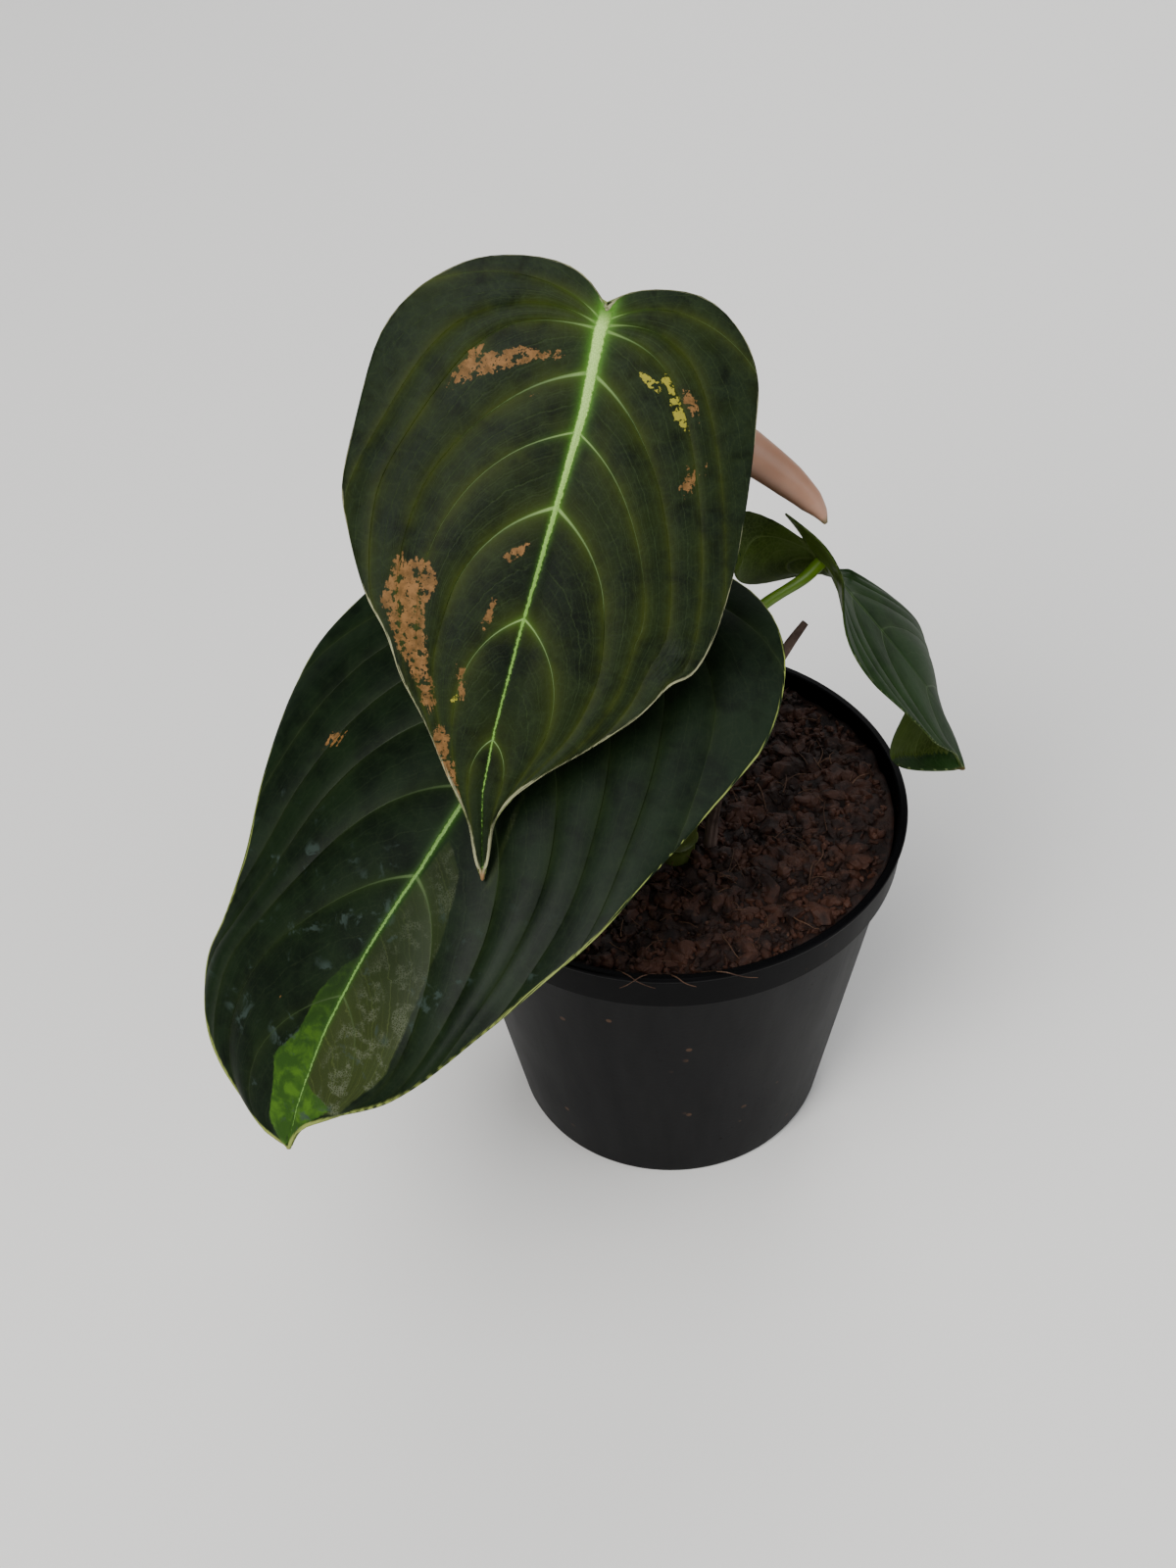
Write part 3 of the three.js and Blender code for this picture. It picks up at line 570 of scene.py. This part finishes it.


# colours are linear light, shares run from 0 to 1 and reaches are in mm
# each look's slate colour and its share are a painted sheen laid over the blade
plainLook = dict(
    shade=(0.1, 0.1, 0.1), shadeShare=0.0, patch=None, creamColour=None, lime=None, marks=0.0,
    markColour=(0.2, 0.2, 0.2), haloFar=0.35)

frontLook = dict(
    plainLook, deep=(0.0006, 0.0024, 0.0004), base=(0.0052, 0.0105, 0.0009),
    paintedSheen=(0.0095, 0.0175, 0.007), paintedSheenShare=0.6, glow=(0.032, 0.042, 0.0032), glowReach=2.8,
    glowShare=0.75, gritShare=0.22, net=(0.03, 0.048, 0.014), netShare=0.2, threadShare=0.45,
    line=(0.088, 0.135, 0.055), lineShare=0.95, halo=(0.075, 0.2, 0.022), haloReach=0.75, haloShare=0.85,
    rib=(0.44, 0.66, 0.19), ribEnd=(0.17, 0.32, 0.06), ribShare=0.95, patch=(0.22, 0.108, 0.038),
    patchDark=(0.11, 0.056, 0.017), creamColour=(0.29, 0.26, 0.03), margin=(0.26, 0.26, 0.15),
    marginWidth=0.62, tipShare=0.8, under=(0.06, 0.07, 0.022), underLight=(0.1, 0.12, 0.035),
    underVein=(0.2, 0.26, 0.08), rough=0.55, bump=0.0001, specular=0.09)

lowLook = dict(
    plainLook, deep=(0.001, 0.0035, 0.001), base=(0.0038, 0.01, 0.0028), paintedSheen=(0.006, 0.0135, 0.0055),
    paintedSheenShare=0.5, shade=(0.042, 0.056, 0.013), shadeShare=0.9, glow=(0.014, 0.023, 0.005),
    glowReach=1.8, glowShare=0.5, gritShare=0.08, net=(0.02, 0.03, 0.012), netShare=0.15, threadShare=0.3,
    line=(0.024, 0.04, 0.014), lineShare=0.7, halo=(0.028, 0.08, 0.009), haloReach=1.5, haloShare=0.85,
    haloFar=0.85, rib=(0.24, 0.36, 0.14), ribEnd=(0.15, 0.27, 0.07), ribShare=0.9,
    patch=(0.24, 0.115, 0.035), patchDark=(0.1, 0.052, 0.014), margin=(0.2, 0.24, 0.06), marginWidth=0.9,
    tipShare=0.9, marks=0.75, markColour=(0.026, 0.041, 0.034), lime=(0.05, 0.12, 0.01),
    limeDeep=(0.02, 0.055, 0.006), under=(0.04, 0.052, 0.015), underLight=(0.07, 0.09, 0.028),
    underVein=(0.14, 0.19, 0.06), rough=0.45, bump=0.00003, specular=0.08)

sideLook = dict(
    plainLook, deep=(0.0045, 0.015, 0.0025), base=(0.0095, 0.029, 0.0055), paintedSheen=(0.013, 0.034, 0.0085),
    paintedSheenShare=0.6, glow=(0.02, 0.036, 0.008), glowReach=2.0, glowShare=0.4, gritShare=0.1,
    net=(0.04, 0.06, 0.025), netShare=0.15, threadShare=0.3, line=(0.03, 0.06, 0.02), lineShare=0.4,
    halo=(0.03, 0.06, 0.012), haloReach=0.6, haloShare=0.4, rib=(0.06, 0.11, 0.025),
    ribEnd=(0.03, 0.06, 0.015), ribShare=0.5, margin=(0.13, 0.16, 0.07), marginWidth=0.4, tipShare=0.3,
    under=(0.018, 0.03, 0.004), underLight=(0.045, 0.075, 0.008), underVein=(0.06, 0.085, 0.02),
    rough=0.5, bump=0.00005, specular=0.07)

for bladeName, leaf, look, slotName, node in (
        ("bladeFront", frontLeaf, frontLook, "blade_variegated", "leaf_front"),
        ("bladeLow", lowLeaf, lowLook, "blade_dark", "leaf_low"),
        ("bladeSide", sideLeaf, sideLook, "blade_side", "leaf_side")):
    settle(makeBlade(bladeName, leaf, bladeFinish(bladeName + "Skin", look)), slotName, node)
print("blades done")


# Pot: one turned profile in mm, with drain holes through its floor
potShape = dict(height=100, rim=60, foot=41.5, collar=11, step=2.2, wall=1.3, sides=192,
                holes=8, holeRadius=3.2, holeRing=30)


def potFinish():
    m = Finish("potPlastic", 0.42, IOR=1.25, Specular_IOR_Level=0.12)
    place = m.place()
    cloud = m.noise(place, 30, 4)
    grain = m.noise(place, 900, 3)
    streak = m.noise(m.stretch(place, (160, 160, 6)), 1.0, 4, 0.6)
    dust = m.noise(place, 420, 5, 0.7).ramp(0.62, 0.72) * cloud.ramp(0.45, 0.7)
    crumbs = m.cells(place, 170).ramp(0.16, 0.1) * m.noise(place, 26, 2).ramp(0.56, 0.62)
    colour = m.mix(cloud.ramp(0.35, 0.7), (0.0008, 0.0008, 0.0011), (0.0026, 0.0026, 0.0033))
    colour = m.mix(dust * 0.3, colour, (0.02, 0.014, 0.011))
    colour = m.mix(crumbs, colour, (0.07, 0.036, 0.02))
    rough = 0.36 + cloud * 0.12 + streak * 0.1 + dust * 0.2
    return m.end(colour, grain * 0.4 + streak * 0.6, 0.00012, 0.35, Roughness=rough)


def makePot():
    s = potShape
    top, rim, foot, step, wall, sides = (s[key] for key in ("height", "rim", "foot", "step", "wall",
                                                            "sides"))
    collarFoot = top - s["collar"]
    body = rim - 1.4
    under = body - step
    profile = [
        (foot - 2, 0), (foot - 0.6, 0.5), (foot, 2), (under, collarFoot - 1),
        (under + 0.25, collarFoot - 0.5), (body - 0.4, collarFoot - 0.35), (body, collarFoot + 0.1),
        (rim - 0.45, top - 1.6), (rim - 0.12, top - 1.25), (rim, top - 0.7), (rim - 0.15, top - 0.25),
        (rim - 0.5, top), (rim - 1.7, top), (rim - 2.1, top - 0.3), (rim - 2.3, top - 0.9),
        (body - wall, collarFoot + 1.2), (under - wall, collarFoot - 1.6), (foot - wall + 0.1, 3.2),
        (foot - wall - 1.6, wall)]
    a = 2 * np.pi * np.arange(sides) / sides
    rings = [np.stack([r * np.cos(a), r * np.sin(a), np.full(sides, z)], -1) for r, z in profile]
    item = loftRings("potShell", rings, potFinish())
    for i in range(s["holes"]):
        a = 2 * math.pi * (i + 0.5) / s["holes"]
        bpy.ops.mesh.primitive_cylinder_add(
            vertices=32, radius=s["holeRadius"] * mm, depth=8 * mm,
            location=(s["holeRing"] * math.cos(a) * mm, s["holeRing"] * math.sin(a) * mm, 0))
        drill = bpy.context.object
        cut = item.modifiers.new("drainHole", "BOOLEAN")
        cut.operation = "DIFFERENCE"
        cut.object = drill
        cut.solver = "EXACT"
        item.data = finishedMesh(item)
        bpy.data.objects.remove(drill)
    item.data.polygons.foreach_set("use_smooth", [True] * len(item.data.polygons))
    item.data.set_sharp_from_angle(angle=math.radians(32))
    return item


settle(makePot(), "pot_plastic", "pot")


# Geometry Nodes helpers
class Nodes:
    def __init__(self, name, **inputs):
        self.tree = bpy.data.node_groups.new(name, "GeometryNodeTree")
        face = self.tree.interface
        face.new_socket("Geometry", in_out="INPUT", socket_type="NodeSocketGeometry")
        face.new_socket("Geometry", in_out="OUTPUT", socket_type="NodeSocketGeometry")
        self.wanted = {}
        for label, value in inputs.items():
            kinds = {int: "NodeSocketInt", float: "NodeSocketFloat"}
            kind = kinds.get(type(value), "NodeSocketMaterial")
            socket = face.new_socket(label, in_out="INPUT", socket_type=kind)
            self.wanted[socket.identifier] = value
        self.source = self.tree.nodes.new("NodeGroupInput")
        self.sink = self.tree.nodes.new("NodeGroupOutput")

    def given(self, label):
        return self.source.outputs[label]

    def feed(self, value, slot):
        if isinstance(value, bpy.types.NodeSocket):
            self.tree.links.new(value, slot)
        else:
            slot.default_value = value

    def add(self, kind, output=0, settings=None, **inputs):
        node = self.tree.nodes.new(kind)
        for label, value in (settings or {}).items():
            setattr(node, label, value)
        for label, value in inputs.items():
            label = label.replace("_", " ")
            self.feed(value, next(s for s in node.inputs if s.name == label and s.enabled))
        return [s for s in node.outputs if s.enabled][output]

    # a maths node with its terms in order, for numbers or vectors
    def maths(self, operation, *terms, kind="Math"):
        node = self.tree.nodes.new("ShaderNode" + kind)
        node.operation = operation
        for slot, term in zip(node.inputs, terms):
            self.feed(term, slot)
        return node.outputs[0]

    # the tree's last steps, then the result as a plain mesh under the given name
    def run(self, geometry, finish, item, name):
        solid = self.add("GeometryNodeRealizeInstances", Geometry=geometry)
        painted = self.add("GeometryNodeSetMaterial", Geometry=solid, Material=finish)
        self.feed(painted, self.sink.inputs[0])
        grow = item.modifiers.new("grow", "NODES")
        grow.node_group = self.tree
        for identifier, value in self.wanted.items():
            grow[identifier] = value
        mesh = finishedMesh(item)
        mesh.name = name
        return newObject(name, mesh)


# Potting mix: a bed with chips, crumbs and fibres strewn over it
mixShape = dict(top=96.6, outer=56.8, stemFoot=(1, -14), holeRadius=5.5, holeFloor=80, rings=60,
                sides=180, strewn=55.6, stemRadius=5.6, lowest=91.5)


def mixFinish(name, dark, light, pale, scale):
    m = Finish(name, 0.85, Specular_IOR_Level=0.3)
    place = m.place()
    lump = m.noise(place, scale, 4, 0.6)
    grain = m.noise(place, scale * 5, 3, 0.65)
    colour = m.mix(lump.ramp(0.38, 0.62), dark, light)
    colour = m.mix(grain.ramp(0.6, 0.75) * 0.6, colour, pale)
    rough = 0.9 - lump * 0.35
    return m.end(colour, lump * 0.5 + grain * 0.5, 0.0006, 0.8, Roughness=rough)


def makeMixBed():
    s = mixShape
    rng = np.random.default_rng(5)
    waves = [(rng.uniform(0.1, 0.9, 2) * rng.choice([-1, 1], 2), rng.uniform(0, 6)) for _ in range(14)]

    def lumps(x, y):
        total = np.zeros_like(x)
        for (u, v), phase in waves:
            total += np.sin(u * x + v * y + phase) / (1 + 2 * math.hypot(u, v))
        return 0.55 * total

    sides, sx, sy = s["sides"], *s["stemFoot"]
    angle = 2 * np.pi * np.arange(sides) / sides
    # centre, radius, height and share of the lumps: up the wall, inwards, down the stem's hole
    stack = [(0, 0, 39.0, 1.7, 0), (0, 0, 40.2, 3.7, 0), (0, 0, 55.1, 88, 0), (0, 0, 56.7, 90.5, 0)]
    for u in np.arange(s["rings"]) / (s["rings"] - 1):
        radius = s["outer"] * (1 - u) + s["holeRadius"] * u
        stack.append((sx * u, sy * u, radius, s["top"] - 1.2 + 0.7 * min(1, 3 * u), 1 if u < 1 else 0.3))
    stack.append((sx, sy, s["holeRadius"], s["holeFloor"], 0))
    rings = []
    for x, y, radius, z, rough in stack:
        px, py = x + radius * np.cos(angle), y + radius * np.sin(angle)
        rings.append(np.stack([px, py, z + rough * lumps(px, py)], -1))
    return loftRings("mixBed", rings, mixFinish(
        "mixDark", (0.005, 0.0014, 0.0008), (0.018, 0.0058, 0.0028), (0.037, 0.014, 0.0065), 300))


# strews pieces of one size over the bed, all inside the pot's wall and clear of the stem
def strew(name, bed, finish, count, size, flatten, seed, sides, lift):
    g = Nodes(name + "Nodes", Count=float(count), Size=float(size * mm), Lift=float(lift * mm),
              Seed=seed, Skin=finish)
    parts = g.tree.nodes.new("ShaderNodeSeparateXYZ")
    g.feed(g.add("GeometryNodeInputPosition"), parts.inputs[0])

    def radiusFrom(x, y):
        dx, dy = (g.maths("SUBTRACT", parts.outputs[i], v * mm) for i, v in enumerate((x, y)))
        squares = g.maths("ADD", g.maths("MULTIPLY", dx, dx), g.maths("MULTIPLY", dy, dy))
        return g.maths("SQRT", squares)

    s = mixShape
    inWall = g.maths("LESS_THAN", radiusFrom(0, 0), (s["strewn"] - size * 0.55) * mm)
    offStem = g.maths("GREATER_THAN", radiusFrom(*s["stemFoot"]), (s["stemRadius"] + size * 0.6) * mm)
    onTop = g.maths("GREATER_THAN", parts.outputs[2], s["lowest"] * mm)
    chosen = g.maths("MULTIPLY", g.maths("MULTIPLY", inWall, offStem), onTop)
    points = g.add("GeometryNodeDistributePointsOnFaces", 0, {"distribute_method": "RANDOM"},
                   Mesh=g.given("Geometry"), Selection=chosen, Density=g.given("Count"),
                   Seed=g.given("Seed"))
    chip = g.add("GeometryNodeMeshIcoSphere", Radius=g.given("Size"), Subdivisions=sides)
    vector = {"data_type": "FLOAT_VECTOR"}
    turn = g.add("FunctionNodeRandomValue", 0, vector, Min=(-0.5, -0.5, 0), Max=(0.5, 0.5, 6.28),
                 Seed=g.given("Seed"))
    stretch = g.add("FunctionNodeRandomValue", 0, vector, Min=(0.45, 0.3, flatten[0]),
                    Max=(1.25, 0.8, flatten[1]), Seed=7)
    placed = g.add("GeometryNodeInstanceOnPoints", Points=points, Instance=chip, Rotation=turn,
                   Scale=stretch)
    loose = g.add("GeometryNodeRealizeInstances", Geometry=placed)
    # each piece is made lumpy by a noise of its own size
    wobble = g.add("ShaderNodeTexNoise", 1, Scale=0.9 / (size * mm), Detail=2)
    centred = g.maths("SUBTRACT", wobble, (0.5, 0.5, 0.5), kind="VectorMath")
    scaled = g.add("ShaderNodeVectorMath", 0, {"operation": "SCALE"}, Vector=centred,
                   Scale=size * mm * 1.1)
    rise = g.add("ShaderNodeCombineXYZ", Z=g.given("Lift"))
    rough = g.add("GeometryNodeSetPosition", Geometry=loose,
                  Offset=g.maths("ADD", scaled, rise, kind="VectorMath"))
    return g.run(rough, g.given("Skin"), bed, name)


bed = makeMixBed()
for s in (
        dict(name="mixChips", count=52000, size=3.3, flatten=(0.22, 0.5), seed=3, sides=2, lift=0.2,
             colours=((0.01, 0.003, 0.0016), (0.04, 0.013, 0.0062), (0.095, 0.04, 0.02))),
        dict(name="mixCrumbs", count=300000, size=1.2, flatten=(0.4, 0.9), seed=11, sides=1, lift=0.4,
             colours=((0.008, 0.0024, 0.0012), (0.046, 0.015, 0.007), (0.125, 0.056, 0.029)))):
    bark = mixFinish(s["name"] + "Bark", *s.pop("colours"), 160)
    settle(strew(bed=bed, finish=bark, **s), "mix")
settle(bed, "mix", "potting_mix")


# closed tubes along lines of points, as thick as the radii, all in mm
def tubes(name, lines, finish, sides):
    curve = bpy.data.curves.new(name + "Lines", "CURVE")
    curve.dimensions = "3D"
    for points, radii in lines:
        spline = curve.splines.new("POLY")
        spline.points.add(len(points) - 1)
        for spot, p, radius in zip(spline.points, points, radii):
            spot.co = (*(p * mm), 1)
            spot.radius = float(radius) * mm
    item = newObject(name + "Lines", curve)
    g = Nodes(name + "Nodes", Sides=sides, Skin=finish)
    ring = g.add("GeometryNodeCurvePrimitiveCircle", Resolution=g.given("Sides"), Radius=1.0)
    tube = g.add("GeometryNodeCurveToMesh", Curve=g.given("Geometry"), Profile_Curve=ring,
                 Scale=g.add("GeometryNodeInputRadius"), Fill_Caps=True)
    smooth = g.add("GeometryNodeSetShadeSmooth", Geometry=tube)
    made = g.run(smooth, g.given("Skin"), item, name)
    bpy.data.objects.remove(item)
    return made


# fibres: short bent threads lying on the mix, and a few over the lip
def makeFibres():
    rng = np.random.default_rng(21)
    threads = []
    for _ in range(170):
        r, a = 53 * math.sqrt(rng.uniform(0.05, 1)), rng.uniform(0, 2 * math.pi)
        x, y = r * math.cos(a), r * math.sin(a)
        heading, length = rng.uniform(0, 2 * math.pi), rng.uniform(3, 11)
        bend = rng.uniform(-0.25, 0.25)
        line = []
        for i in range(7):
            line.append((x, y, mixShape["top"] + 1.0 + 0.6 * math.sin(0.9 * i + a) + rng.uniform(0, 0.3)))
            x += length / 6 * math.cos(heading)
            y += length / 6 * math.sin(heading)
            heading += bend
        if all(math.hypot(px, py) < 56 for px, py, _ in line):
            threads.append((line, rng.uniform(0.1, 0.22)))
    # over the front lip
    for a, drop, slant in ((-106, 2.4, 10), (-96, 3.4, -8), (-94, 2.2, 7), (-85, 3, 12)):
        line = []
        for i, (r, z) in enumerate(((55, 96.5), (58, 99.6), (59.4, 100.35), (60.35, 99.6),
                                    (60.5, 100 - 0.6 * drop), (60.4, 100 - drop))):
            w = math.radians(a + slant * i / 5)
            line.append((r * math.cos(w), r * math.sin(w), z))
        threads.append((line, 0.22))
    lines = []
    for line, radius in threads:
        smooth = smoothThrough(line, 3)[0]
        lines.append((smooth, radius * (1 - 0.6 * np.arange(len(smooth)) / len(smooth))))
    finish = mixFinish("mixFibre", (0.035, 0.016, 0.009), (0.10, 0.05, 0.028), (0.18, 0.11, 0.07), 120)
    return tubes("mixFibres", lines, finish, 4)


settle(makeFibres(), "mix")
print("mix done")


# Stem and stalks
def greenFinish(name, deep, light, spot, roughness=0.42):
    m = Finish(name, roughness, Specular_IOR_Level=0.45, Subsurface_Weight=0.12,
               Subsurface_Radius=(0.002, 0.002, 0.0005), Subsurface_Scale=1.0)
    place = m.place()
    cloud = m.noise(place, 60, 3)
    fleck = m.noise(m.stretch(place, (900, 900, 260)), 1.0, 3, 0.6)
    colour = m.mix(cloud.ramp(0.35, 0.65), deep, light)
    colour = m.mix(fleck.ramp(0.6, 0.72) * 0.45, colour, spot)
    return m.end(colour, fleck, 0.00015, 0.4, Roughness=roughness + (cloud - 0.5) * 0.15)


stalkSizes = [(0, 2.3), (0.2, 1.9), (0.85, 1.3), (1, 1.6)]


def underHub(leaf, distance, aside=0):
    sideways, _, face = leafAxes(leaf)
    return tuple(np.array(leaf["hub"]) - distance * face + aside * sideways)


stalkFoot = 110.2
stalkRoutes = dict(
    stalk_front=[(-1.1, -10.4, stalkFoot), (-1.1, -10.2, 116), (-2, -4, 140), (-3, 2, 170), (-6, 6, 195),
                 (-13, 6, 218), (-14.5, 2.6, 231), underHub(frontLeaf, 5), underHub(frontLeaf, 1.2)],
    stalk_low=[(-1.1, -15.6, stalkFoot), (-1.1, -15.7, 116), (-4, -15, 138), (-9.5, -14.5, 158),
               underHub(lowLeaf, 6), underHub(lowLeaf, 0.8)],
    stalk_side=[(4.1, -10.4, stalkFoot), (4.1, -10.3, 116), (7.5, -5.5, 136), (14, 0.5, 150),
                (23.3, 5.8, 156.2), underHub(sideLeaf, 5.6, 1.4), underHub(sideLeaf, 0.5, 0.6)],
    stalk_new=[(4.1, -15.6, stalkFoot), (4.1, -15.5, 116), (5.6, -9, 142), (4.6, 2, 170),
               (1.5, 9.5, 192), (-6.5, 13.2, 206.5), (-9.4, 14.2, 210.6), (-7.6, 14.3, 212.7),
               (-4.2, 13.5, 211.0)])


stalkFinish = greenFinish("stalkSkin", (0.10, 0.20, 0.006), (0.17, 0.30, 0.012), (0.28, 0.36, 0.06))
for stalkName, route in stalkRoutes.items():
    piece = stalkName.replace("stalk_", "stalk").replace("stalkf", "stalkF")
    line, share = smoothThrough(route, 16)
    stalk = tubes(piece + "Skin", [(line, follow(stalkSizes, share))], stalkFinish, 24)
    settle(stalk, "green_stem", stalkName)


def makeStem():
    x, y = mixShape["stemFoot"]
    heights = [(80.3, 4), (84, 5), (95, 5), (99, 5.05), (100, 5.25), (100.5, 5.7), (101, 5.45),
               (102, 5.2), (105, 5.6), (107, 6.2), (109.5, 6.6), (110.6, 6.4), (111, 6.1)]
    a = 2 * np.pi * np.arange(48) / 48
    rings = []
    for z in np.unique(np.concatenate([np.linspace(80.3, 111, 60), [h[0] for h in heights]])):
        lean = max(0, z - mixShape["top"])
        radius = follow(heights, z) * (1 + 0.012 * np.sin(5 * a + z / 3) + 0.008 * np.sin(13 * a))
        rings.append(np.stack([x + lean / 30 + radius * np.cos(a), y + lean / 16 + radius * np.sin(a),
                               np.full(len(a), z)], -1))
    return loftRings("stemCane", rings, greenFinish(
        "stemSkin", (0.04, 0.056, 0.008), (0.085, 0.105, 0.018), (0.07, 0.045, 0.015), 0.5))


settle(makeStem(), "green_stem", "stem")


# frames along a route that don't twist
def sweepRings(route, sizes, sides, perSpan, section, flatten=1.0):
    line, share = smoothThrough(route, perSpan)
    tangent = np.gradient(line, axis=0)
    tangent /= np.linalg.norm(tangent, axis=1, keepdims=True)
    across = unit(np.cross(tangent[0], (0, 0, 1)))
    angle = 2 * np.pi * np.arange(sides) / sides
    rings = []
    for centre, ahead, u in zip(line, tangent, share):
        across = unit(across - across @ ahead * ahead)
        up = np.cross(ahead, across)
        radius = follow(sizes, u) * section(angle, u)
        rings.append(centre + (radius * np.cos(angle))[:, None] * across
                     + (radius * flatten * np.sin(angle))[:, None] * up)
    return rings


newLeaf = dict(
    route=[(-4.5, 13.6, 211.2), (8, 11.8, 205.2), (20.6, 9.4, 196.6), (30.2, 7, 188.9),
        (35.3, 5.2, 183.6), (37, 4.2, 180.6)],
    sizes=[(0, 1.5), (0.12, 3.1), (0.3, 4.8), (0.52, 4.7), (0.75, 3.8), (0.88, 2.8), (0.95, 1.6),
        (1, 0.5)],
    seam=200, overlap=0.1, sides=96)


def makeNewLeaf():
    m = Finish("newLeafSkin", 0.38, Specular_IOR_Level=0.45, Subsurface_Weight=0.2,
               Subsurface_Radius=(0.004, 0.0015, 0.001), Subsurface_Scale=1.0)
    place = m.place()
    along = m.attribute("share")
    cloud = m.noise(place, 70, 3)
    fine = m.noise(m.stretch(place, (300, 900, 600)), 1.0, 3)
    colour = m.mix(cloud.ramp(0.3, 0.7), (0.33, 0.170, 0.105), (0.41, 0.23, 0.155))
    colour = m.mix(fine.ramp(0.55, 0.75) * 0.35, colour, (0.37, 0.22, 0.15))
    # painted shade: darker brown on the roll's lower side, where less light falls
    colour = m.mix(m.attribute("below").ramp(-0.45, 0.6) * 0.9, colour, (0.055, 0.024, 0.012))
    colour = m.mix(along.ramp(0.86, 0.99), colour, (0.10, 0.085, 0.03))
    colour = m.mix(along.ramp(0.3, 0.0) * 0.7, colour, (0.22, 0.20, 0.07))
    finish = m.end(colour, fine, 0.0001, 0.3, Roughness=0.36 + fine * 0.1)
    s = newLeaf
    seam = math.radians(s["seam"])

    def section(angle, u):
        turn = (angle - seam - 0.8 * u) % (2 * math.pi)
        return 1 + s["overlap"] * (1 - turn / math.pi) * np.clip(1 - u, 0, 1) ** 0.3

    rings = sweepRings(s["route"], s["sizes"], s["sides"], 26, section)
    item = loftRings("newLeafRoll", rings, finish)
    share = np.repeat(np.linspace(0, 1, len(rings)), s["sides"])
    addValues(item, "share", np.concatenate([[0], share, [1]]))
    # how far each point faces downward, which sets the painted shade on the roll's lower side
    spokes = np.concatenate([ring - ring.mean(0) for ring in rings])
    below = -spokes[:, 2] / np.linalg.norm(spokes, axis=1)
    addValues(item, "below", np.concatenate([[0], below, [0]]))
    return item


settle(makeNewLeaf(), "new_leaf", "leaf_new_rolled")


drySheath = dict(
    route=[(9.5, -13.9, 95.5), (10, -13.2, 101), (10.8, -12, 108), (14.4, -7.8, 122), (22, -2.6, 137),
        (29, 2, 146.4), (33.4, 4.3, 151.7)],
    sizes=[(0, 1.7), (0.3, 1.6), (0.8, 1.4), (1, 0.9)])


def makeSheath():
    m = Finish("sheathSkin", 0.8, Specular_IOR_Level=0.25)
    place = m.place()
    streak = m.noise(m.stretch(place, (1500, 1500, 200)), 1.0, 4, 0.6)
    cloud = m.noise(place, 120, 3)
    colour = m.mix(cloud.ramp(0.35, 0.65), (0.05, 0.030, 0.024), (0.11, 0.072, 0.058))
    colour = m.mix(streak.ramp(0.5, 0.7) * 0.6, colour, (0.15, 0.105, 0.082))
    finish = m.end(colour, streak, 0.0003, 0.7, Roughness=0.72 + streak * 0.2)

    def section(angle, u):
        return 1 + 0.12 * np.sin(3 * angle + 9 * u) + 0.06 * np.sin(7 * angle - 20 * u)

    rings = sweepRings(drySheath["route"], drySheath["sizes"], 32, 20, section, 0.55)
    return loftRings("sheathStrip", rings, finish)


settle(makeSheath(), "dry_sheath", "sheath_dry")
print("stem, stalks, new leaf and sheath done")


# Studio: pale floor, soft lamps and the camera
def makeFloor():
    m = Finish("paleFloor", 0.75, Specular_IOR_Level=0.3)
    place = m.place()
    cloud = m.noise(place, 1.4, 3)
    grain = m.noise(place, 260, 3)
    colour = m.mix(cloud, (0.76, 0.75, 0.73), (0.82, 0.81, 0.79))
    finish = m.end(colour, grain, 0.0002, 0.15, Roughness=0.72 + (grain - 0.5) * 0.1)
    half = 6000
    corners = [(-half, -half, 0), (half, -half, 0), (half, half, 0), (-half, half, 0)]
    newMesh("studioFloor", corners, [(0, 1, 2, 3)], finish)


makeFloor()


def aim(item, towards):
    item.rotation_euler = Vector(towards).to_track_quat("-Z", "Y").to_euler()


for s in (
        dict(name="keyLamp", place=(-0.55, -0.75, 1.05), aim=(-0.02, -0.02, 0.14), size=0.7, power=12,
             colour=(1.0, 0.98, 0.95)),
        dict(name="fillLamp", place=(0.9, -0.55, 0.7), aim=(0, 0, 0.12), size=1.0, power=5,
             colour=(0.93, 0.96, 1.0)),
        dict(name="backLamp", place=(0.3, 1.0, 0.9), aim=(0, 0, 0.14), size=0.8, power=6,
             colour=(1.0, 1.0, 1.0))):
    lamp = bpy.data.lights.new(s["name"], "AREA")
    lamp.shape = "DISK"
    lamp.size = s["size"]
    lamp.energy = s["power"]
    lamp.color = s["colour"]
    item = newObject(s["name"], lamp)
    item.location = s["place"]
    aim(item, Vector(s["aim"]) - Vector(s["place"]))

sunLight = bpy.data.lights.new("softSun", "SUN")
sunLight.energy = 2.3
sunLight.angle = 0.9
aim(newObject("softSun", sunLight), (0.35, 0.5, -1))

world = bpy.data.worlds.new("softRoom")
world.use_nodes = True
backdrop = world.node_tree.nodes["Background"].inputs
backdrop["Color"].default_value = (0.92, 0.95, 1.0, 1.0)
backdrop["Strength"].default_value = 0.2
bpy.context.scene.world = world

view = dict(place=(-19.6, -387.3, 477.3), pitch=43.75, roll=-2.74, lens=49.5, sensor=36)
cameraData = bpy.data.cameras.new("photoView")
cameraData.lens = view["lens"]
cameraData.sensor_width = view["sensor"]
cameraData.clip_start = 0.01
camera = newObject("photoView", cameraData)
camera.matrix_world = (Matrix.Translation(Vector(view["place"]) * mm)
                       @ Matrix.Rotation(math.radians(90 - view["pitch"]), 4, "X")
                       @ Matrix.Rotation(math.radians(view["roll"]), 4, "Z"))
bpy.context.scene.camera = camera
print("studio done")
